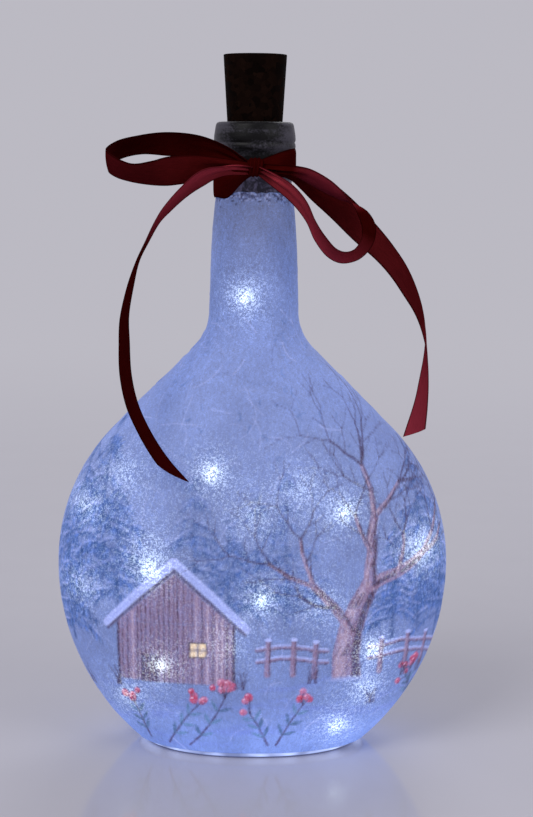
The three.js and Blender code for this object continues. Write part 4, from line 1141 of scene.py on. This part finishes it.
right_loop = [
    [-0.1, 0.18, 0.02, 0.32, 0.3, -0.3, 1], [0.6, 0.15, -0.02, 0.36, 0.3, -0.6, 0.75],
    [1.12, 0.18, -0.07, 0.5, 0.3, -0.7, 0.6], [1.6, 0.24, -0.22, 0.85, 0.25, -0.8, 0.5],
    [2.27, 0.3, -0.57, 1, 0.22, -0.88, 0.42], [2.8, 0.3, -0.9, 1, 0.15, -0.95, 0.22],
    [3.24, 0.22, -1.17, 1, -0.05, -1, -0.05], [3.57, 0.12, -1.52, 1, -0.32, -0.93, -0.2],
    [3.74, 0, -1.97, 1, -0.5, -0.85, -0.1], [3.65, -0.12, -2.47, 1, -0.48, -0.85, 0.1],
    [3.3, -0.25, -2.87, 1, -0.3, -0.9, 0.33], [2.87, -0.33, -2.98, 1, 0, -0.9, 0.45],
    [2.48, -0.38, -2.83, 1, 0.2, -0.9, 0.38], [2.06, -0.44, -2.35, 1, 0.32, -0.93, 0.22],
    [1.72, -0.48, -1.75, 0.95, 0.26, -0.95, 0.15], [1.4, -0.46, -1.2, 0.85, 0.38, -0.88, 0.3],
    [0.98, -0.38, -0.74, 0.7, 0.42, -0.75, 0.55], [0.45, -0.2, -0.36, 0.5, 0.3, -0.5, 0.8],
    [-0.1, 0.02, -0.02, 0.3, 0.2, -0.3, 1],
]
left_tail = [
    [-0.35, 0, -0.02, 0.3, 0, -0.6, 1], [-1.2, -0.42, -0.02, 0.6, 0, -0.85, 0.5],
    [-1.99, -0.73, -0.27, 0.92, -0.1, -0.83, 0.55], [-2.61, -0.84, -0.74, 1, -0.22, -0.9, 0.27],
    [-3.22, -0.86, -1.38, 1, -0.21, -0.95, 0.12], [-3.53, -0.86, -1.8, 1, -0.12, -0.98, 0.05],
    [-3.88, -0.86, -2.48, 1, -0.05, -1, 0.05], [-4.2, -0.86, -3.13, 1, -0.05, -1, 0],
    [-4.45, -0.9, -3.91, 1, -0.15, -0.98, 0], [-4.68, -0.96, -5.04, 1, -0.22, -0.95, 0],
    [-4.68, -1.02, -5.97, 1, -0.28, -0.93, 0], [-4.62, -1.1, -7, 1, -0.3, -0.92, 0],
    [-4.39, -1.24, -8.02, 1, -0.27, -0.92, -0.1], [-4.03, -1.4, -8.84, 1, -0.21, -0.92, -0.15],
    [-3.57, -1.65, -9.6, 1, -0.16, -0.92, -0.2], [-3.15, -1.85, -10.13, 1, -0.13, -0.93, -0.2],
    [-2.62, -2.07, -10.66, 1, -0.11, -0.94, -0.2],
]
right_tail = [
    [-0.1, 0.28, 0.02, 0.32, 0.3, 0, 1], [0.6, 0.42, -0.02, 0.36, 0.4, 0, 1],
    [1.15, 0.55, -0.14, 0.55, 0.5, 0, 0.9], [1.6, 0.7, -0.36, 0.8, 0.7, 0, 0.8],
    [2.1, 0.9, -0.74, 0.95, 0.7, 0, 0.7], [2.85, 1.12, -1.38, 1, 0.7, 0, 0.7],
    [3.55, 1.24, -2.08, 1, 0.73, 0.22, 0.58], [4.34, 1.24, -2.86, 0.97, 0.62, 0.5, 0.43],
    [4.88, 1.15, -3.53, 0.95, 0.58, 0.62, 0.31], [5.28, 1.02, -4.23, 0.95, 0.5, 0.75, 0.2],
    [5.59, 0.9, -4.93, 0.95, 0.35, 0.9, 0.1], [5.77, 0.8, -5.64, 0.97, 0.2, 0.98, 0],
    [5.84, 0.74, -6.41, 1, 0, 1, 0], [5.8, 0.68, -7.41, 1, -0.23, 0.97, 0],
    [5.71, 0.62, -8.3, 1, -0.4, 0.91, 0], [5.48, 0.55, -9.5, 1, -0.7, 0.7, -0.15],
]
lit_sides = {
    "left_loop": [(0, 0, 0), (0.45, 0, 0), (0.55, 0.15, 0), (0.7, 0.1, 0), (1, 0, 0)],
    "right_loop": [
        (0, 0, 0), (0.11, 0, 0), (0.17, 0.75, 0.4), (0.27, 0.8, 0.4), (0.31, 0.55, 0), (0.38, 0, 0),
        (0.46, 0, 0), (0.58, 0.75, -0.3), (0.7, 0.9, -0.4), (0.82, 1, 0.1), (0.94, 0.85, 0.6), (1, 0.2, 0.6),
    ],
    "left_tail": [
        (0, 0.3, 0.6), (0.05, 0.85, 0.6), (0.2, 0.95, 0.5), (0.27, 0.8, 0.3), (0.36, 0, 0), (1, 0, 0),
    ],
    "right_tail": [(0, 0, 0), (0.2, 0.05, 0), (0.3, 0.12, 0), (0.66, 0.15, 0), (0.84, 0.9, 0), (1, 1.05, 0)],
}


def tied_on(piece, node):
    """Gives a strip of the bow its satin and its place in the frame."""
    satin.onto(piece)
    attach(piece, "bottle")
    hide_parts(node)


for name, stations, cut in [
    ("left_loop", left_loop, 0), ("right_loop", right_loop, 0),
    ("left_tail", left_tail, 1.0), ("right_tail", right_tail, -0.5),
]:
    strip, length = satin_strip("satin_" + name, stations, lit_sides[name], cut, seed=len(name))
    tied_on(strip, name)

band_half_width = 4.7 * mm
band_pinch = 2.4 * mm
band_rise = 1.6 * mm
band_sag = 1.7 * mm
band_crease = 0.22 * mm
band_gap = 0.1 * mm
edge_turned_in = 0.5 * mm
turns = np.linspace(0, 2 * math.pi, 181)
columns = np.linspace(-1, 1, 13)
to_knot = np.exp(-((turns - 1.5 * math.pi) / 0.5) ** 2)
at_sag = np.exp(-((turns - 1.27 * math.pi) / 0.3) ** 2)
half = band_half_width - band_pinch * to_knot
middle = band_middle + math.tan(band_tilt) * band_radius * np.cos(turns)
middle += band_rise * to_knot - band_sag * at_sag
creases = band_crease * np.outer(np.sin(5 * turns) + 1.4 * to_knot, np.cos(4 * columns + 0.5))
radius = band_radius + band_gap + creases - edge_turned_in * columns ** 4
band_rows = np.stack([
    radius * np.cos(turns)[:, None], radius * np.sin(turns)[:, None],
    middle[:, None] + half[:, None] * columns[None, :],
], axis=-1)
neck_band = laid_up("satin_band", band_rows)
cloth_map(neck_band, columns, (turns * band_radius * 100)[:, None])
give_thickness(neck_band)
tied_on(neck_band, "neck_band")

knot_half_length = 2.9 * mm
knot_half_depth = 2.4 * mm
knot_half_height = 3.1 * mm
turns = np.linspace(0, 2 * math.pi, 73)
columns = np.linspace(-1, 1, 41)
pinch = 1 - 0.34 * columns ** 4
pleats = 1 + 0.1 * np.cos(13 * columns + 0.8)[None, :] * (0.8 + 0.2 * np.cos(2 * turns))[:, None]
section = oval(knot_half_depth, knot_half_height, 2.4, 0, turns)
knot_rows = np.stack([
    columns * knot_half_length + 0.12 * section[:, 1:2],
    section[:, 0:1] * pinch * pleats,
    section[:, 1:2] * pinch * pleats,
], axis=-1) + knot_centre
bow_knot = laid_up("satin_knot", knot_rows)
cloth_map(bow_knot, columns, (turns * 0.3)[:, None])
give_thickness(bow_knot)
tied_on(bow_knot, "bow_knot")


# The stopper is turned from pressed cork, stained near black and tapered to fit the bore. It is
# hollow: the battery tray pulls out of its top, and the wire leaves through a bush in its floor.
cork_top_radius = 11.2 * mm
cork_bottom_radius = 8.6 * mm
cork_length = 43.6 * mm
cork_top = 249.6 * mm
cork_foot = cork_top - cork_length
seat_radius = 9 * mm
seat_depth = 1.7 * mm
cavity_radius = 7.2 * mm
cavity_floor = 208.5 * mm
cap_radius = 8.7 * mm
cap_thickness = 1.4 * mm
cap_crown = 0.16 * mm
cap_rim = 2.6 * mm
slot_size = (5.5 * mm, 2.4 * mm, 8 * mm)
cork_top_round = 0.35 * mm
cork_foot_round = 0.6 * mm
cap_round = 0.3 * mm
ring_step = 3 * mm
closeness = 0.02 * mm


def pick(kind, wanted):
    """Selects the faces or edges of the piece in hand that are wanted, by middle and element."""
    mesh = bmesh.from_edit_mesh(bpy.context.object.data)
    bpy.context.tool_settings.mesh_select_mode = (False, kind == "edges", kind == "faces")
    for element in (*mesh.verts, *mesh.edges, *mesh.faces):
        element.select = False
    for element in getattr(mesh, kind):
        middle = sum((v.co for v in element.verts), Vector()) / len(element.verts)
        if wanted(middle, element):
            element.select_set(True)
    mesh.select_flush_mode()
    bmesh.update_edit_mesh(bpy.context.object.data)


def round_edges(wanted, width, segments=3):
    pick("edges", wanted)
    bpy.ops.mesh.bevel(offset=width, segments=segments, profile=0.5, affect="EDGES")


def in_hand(name):
    """Names the new blank, and opens it for work in edit mode."""
    piece = bpy.context.object
    piece.name = name
    bpy.ops.object.transform_apply(location=True, rotation=True, scale=True)
    bpy.ops.object.mode_set(mode="EDIT")
    return piece


def turned_blank(name, radius, foot, top, sides=96):
    """A round blank that stands between two heights."""
    bpy.ops.mesh.primitive_cylinder_add(
        vertices=sides, radius=radius, depth=top - foot, location=(0, 0, (foot + top) / 2),
    )
    return in_hand(name)


def level_edge(height):
    """Corners that run level round a piece at a height, and stand out."""
    return lambda middle, edge: (
        all(abs(v.co.z - height) < closeness for v in edge.verts)
        and edge.is_convex and edge.calc_face_angle(0) > 0.5
    )


def finished(piece):
    bpy.ops.mesh.select_all(action="DESELECT")
    bpy.ops.object.mode_set(mode="OBJECT")
    bpy.ops.object.shade_smooth_by_angle(angle=math.radians(35))
    return piece


def pulled_up(rise):
    bpy.ops.mesh.extrude_region_move(TRANSFORM_OT_translate={"value": (0, 0, rise)})


def sunk(height, inset, depth, facing=1):
    """Draws the face that lies level at a height in by an inset, and moves it down by a depth."""
    pick("faces", lambda middle, face: abs(middle.z - height) < closeness and face.normal.z * facing > 0.9)
    bpy.ops.mesh.inset(thickness=inset)
    pulled_up(-depth)


def scored(place, across):
    """Cuts a line round the whole piece where a plane passes through it."""
    bpy.ops.mesh.select_all(action="SELECT")
    bpy.ops.mesh.bisect(plane_co=place, plane_no=across)


cork = turned_blank("cork_stopper", cork_top_radius, cork_foot, cork_top, 128)
pick("faces", lambda middle, face: middle.z < cork_foot + 0.1 * mm)
taper = cork_bottom_radius / cork_top_radius
bpy.ops.transform.resize(value=(taper, taper, 1), center_override=(0, 0, cork_foot))
sunk(cork_top, cork_top_radius - seat_radius, seat_depth)
sunk(cork_top - seat_depth, seat_radius - cavity_radius, cork_top - seat_depth - cavity_floor)
round_edges(level_edge(cork_top), cork_top_round)
round_edges(level_edge(cork_foot), cork_foot_round)
for level in np.arange(cork_foot + ring_step, cork_top - 2 * mm, ring_step):
    scored((0, 0, level), (0, 0, 1))
finished(cork)

pressed = Finish("dark_pressed_cork", IOR=1.45, Specular_IOR_Level=0.015)
place = pressed.place()
granules = pressed.node("TexVoronoi", {"feature": "F1"}, {"Vector": place, "Scale": 520.0}, output=1)
granule_shade = pressed.node("SeparateColor", values={0: granules})
# Pits in the cork: sunk by the bump below, and painted darker as the shade inside them.
shaded_pits = pressed.between(pressed.noise(place, 420, 3, 0.7, 0.4), 0.6, 0.72)
cork_colour = pressed.blend((0.002, 0.0008, 0.0006), (0.0085, 0.0036, 0.0024), granule_shade)
cork_colour = pressed.blend(cork_colour, (0.001, 0.0006, 0.0006), shaded_pits)
pressed.feed(Base_Color=cork_colour, Roughness=pressed.between(granule_shade, 0, 1, 0.6, 0.82))
pressed.bump(granule_shade * 0.4 - shaded_pits, 0.18 * mm, 0.7)
pressed.onto(cork)
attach(cork, "cork")
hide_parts("cork_shell")

cap_top = cork_top + cap_crown / 2
cap = turned_blank("stopper_cap", cap_radius, cork_top - cap_thickness, cap_top)
sunk(cap_top, cap_rim, -cap_crown / 2)
round_edges(level_edge(cap_top), cap_round)
finished(cap)
bpy.ops.mesh.primitive_cube_add(size=1, location=(0, 0, cork_top), scale=slot_size)
slot_cutter = bpy.context.object
take_up(cap)
slot_cut = cap.modifiers.new("slot", "BOOLEAN")
slot_cut.object, slot_cut.operation = slot_cutter, "DIFFERENCE"
bpy.ops.object.modifier_apply(modifier=slot_cut.name)
bpy.data.objects.remove(slot_cutter)
pressed.onto(cap)
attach(cap, "battery_tray")
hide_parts("tray_cap")


# Inside the stopper: a moulded tray with three button cells, their contacts, a small board with the
# slide switch, and the slack wire that lets the tray be pulled out.
moulded = Finish("black_moulding", IOR=1.46)
place = moulded.place()
tooling = moulded.noise(place, 900, 2, 0.5)
moulded.two_tone((0.012, 0.012, 0.013), (0.024, 0.024, 0.026), tooling, tooling, 0.38, 0.56)
moulded.bump(tooling, 0.03 * mm, 0.5)
moulded.onto(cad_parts["battery_tray"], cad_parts["wire_outlet_bush"])

plated = Finish("plated_steel_finish", Metallic=1.0)
place = plated.place()
brushed = plated.noise(plated.scaled(place, (1, 1, 0.12)), 1500, 3, 0.6)
plated.two_tone((0.5, 0.51, 0.53), (0.68, 0.69, 0.7), brushed, brushed, 0.2, 0.38)
plated.bump(brushed, 0.02 * mm, 0.4)
plated.onto(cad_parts["contact_spring"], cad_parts["switch_frame"])

brass = Finish("brass_finish", Metallic=1.0)
place = brass.place()
tarnish = brass.noise(place, 240, 4, 0.65)
brass.two_tone((0.58, 0.38, 0.12), (0.36, 0.2, 0.07), brass.between(tarnish, 0.45, 0.7), tarnish, 0.24, 0.5)
brass.onto(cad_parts["top_contact"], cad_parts["contact_strip"])

board = Finish("green_board_finish", IOR=1.5, Coat_Weight=0.4, Coat_Roughness=0.15)
place = board.place()
tracks = board.node("TexBrick", {"offset": 0.5}, {
    "Vector": place, "Scale": 420.0, "Mortar Size": 0.03, "Color1": (1, 1, 1, 1), "Color2": (0, 0, 0, 1),
    "Mortar": (0.5, 0.5, 0.5, 1),
})
board.two_tone((0.008, 0.09, 0.03), (0.03, 0.19, 0.07), tracks, board.noise(place, 500), 0.28, 0.42)
board.onto(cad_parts["circuit_board"])

banded = Finish("resistor_finish", IOR=1.5, Coat_Weight=0.3)
place = banded.place()
half_body = 1.7 * mm
share = banded.node("MapRange", values={
    0: banded.across_of(place), 1: -half_body, 2: half_body, 3: 0.0, 4: 1.0,
})
beige, brown, black, gold = (0.55, 0.42, 0.24), (0.12, 0.04, 0.015), (0.01, 0.01, 0.01), (0.5, 0.3, 0.06)
banded.feed(
    Base_Color=banded.node("ValToRGB", {"stops": [
        (0.0, beige), (0.24, beige), (0.25, brown), (0.32, brown), (0.33, beige), (0.42, beige),
        (0.43, black), (0.5, black), (0.51, beige), (0.6, beige), (0.61, brown), (0.68, brown),
        (0.69, beige), (0.78, beige), (0.79, gold), (0.86, gold), (0.87, beige),
    ]}, {0: share}),
    Roughness=banded.between(banded.noise(place, 900), 0.3, 0.7, 0.3, 0.45),
)
banded.onto(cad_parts["resistor"])

cell_step = 0.5 * mm
can_round = 0.45 * mm
step_round = 0.3 * mm
for number in (1, 2, 3):
    low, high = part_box(f"cell_{number}")
    shoulder = low.z + cell_step
    cell = turned_blank(f"button_cell_{number}", high.x, shoulder, high.z, 64)
    round_edges(level_edge(high.z), can_round)
    round_edges(level_edge(shoulder), step_round)
    sunk(shoulder, cell_step, cell_step, facing=-1)
    finished(cell)
    plated.onto(cell)
    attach(cell, "battery_tray")
    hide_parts(f"cell_{number}")

low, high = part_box("switch_slider")
middle_x = (low.x + high.x) / 2
knob_foot = 246.5 * mm
knob_length, knob_width = 2.4 * mm, 1.8 * mm
grooves = middle_x + np.array([-0.75, -0.25, 0.25, 0.75]) * mm
half_groove = 0.1 * mm
groove_depth = 0.2 * mm
bpy.ops.mesh.primitive_cube_add(size=1, location=(low + high) / 2, scale=high - low)
knob = in_hand("switch_knob")
scored((0, 0, knob_foot), (0, 0, 1))
pick("faces", lambda middle, face: middle.z > knob_foot + 0.1 * mm)
bpy.ops.transform.resize(
    value=(knob_length / (high.x - low.x), knob_width / (high.y - low.y), 1),
    center_override=(middle_x, 0, high.z),
)
for edge in (*(grooves - half_groove), *(grooves + half_groove)):
    scored((edge, 0, 0), (1, 0, 0))
pick("faces", lambda middle, face: (
    face.normal.z > 0.9 and middle.z > high.z - 0.05 * mm
    and np.abs(middle.x - grooves).min() < 0.9 * half_groove
))
pulled_up(-groove_depth)
finished(knob)
moulded.onto(knob)
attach(knob, "switch_slider")
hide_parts("switch_slider")

slack_foot, slack_top = 209.1 * mm, 219.9 * mm
slack_rise = slack_top - slack_foot
slack = smooth_path([
    (0, 0, slack_foot), (0, 0, slack_foot + 1 * mm), (2.4 * mm, 0.8 * mm, slack_foot + 0.35 * slack_rise),
    (-2 * mm, -1.2 * mm, slack_foot + 0.65 * slack_rise), (0, 0, slack_top - 1 * mm), (0, 0, slack_top),
], 10)
pigtail = tube("pigtail_wire", slack, wire_radius, 10)
enamel.onto(pigtail)
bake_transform(pigtail)
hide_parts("pigtail")


# A plain pale floor under plain soft studio light. It runs out into a backdrop of the same colour,
# which is also what the eye sees behind it, in glosses and through glass.
backdrop_colour = (0.5, 0.49, 0.545)


def looked_at(nodes):
    """1 where something is seen straight, in a gloss or through glass, and 0 where it only lights."""
    straight, in_gloss, through_glass = (
        nodes.node("LightPath", output=f"Is {kind} Ray") for kind in ("Camera", "Glossy", "Transmission")
    )
    return (straight + in_gloss + through_glass).worked("MINIMUM", 1.0)


def end_with(nodes, ending, first, second, share):
    """Ends a tree of nodes with a mix of two shaders."""
    mixed = nodes.node("MixShader", values={0: share, 1: first, 2: second})
    nodes.tree.links.new(mixed.socket, nodes.tree.nodes[ending].inputs["Surface"])


bpy.ops.mesh.primitive_circle_add(vertices=96, radius=6, fill_type="NGON")
floor = bpy.context.object
floor.name = "studio_floor"
floor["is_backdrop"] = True
paint = Finish("pale_floor_paint", Roughness=0.11, IOR=1.45)
place = paint.place()
paint.feed(Base_Color=paint.blend((0.49, 0.48, 0.535), (0.51, 0.5, 0.555), paint.noise(place, 30, 2)))
paint.onto(floor)
far = paint.node("VectorMath", {"operation": "LENGTH"}, {0: place}, output=1)
run_out = paint.between(far, 0.35, 1.3) * looked_at(paint)
even = paint.node("Emission", values={0: (*backdrop_colour, 1)})
end_with(paint, "Material Output", Link(paint, paint.shader.outputs[0]), even, run_out)

world = bpy.data.worlds.new("studio")
bpy.context.scene.world = world
world.use_nodes = True
studio = Nodes(world.node_tree)
soft_light = studio.tree.nodes["Background"]
soft_light.inputs["Color"].default_value = (0.62, 0.61, 0.66, 1)
soft_light.inputs["Strength"].default_value = 0.62
backdrop = studio.node("Background", values={"Color": (*backdrop_colour, 1)})
end_with(studio, "World Output", Link(studio, soft_light.outputs[0]), backdrop, looked_at(studio))

lamp_middle = Vector((0, 0, 120 * mm))
for name, place, size, power in [
    ("key_light", (-0.9, -1.1, 1.3), 0.9, 15.0),
    ("fill_light", (1.2, -0.9, 0.9), 1.0, 7.0),
    ("back_light", (0.3, 1.3, 1.2), 0.9, 8.0),
]:
    bpy.ops.object.light_add(type="AREA", location=place)
    softbox = bpy.context.object
    softbox.name = name
    softbox.data.size, softbox.data.energy = size, power
    softbox.rotation_euler = (lamp_middle - softbox.location).to_track_quat("-Z", "Y").to_euler()

low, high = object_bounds()
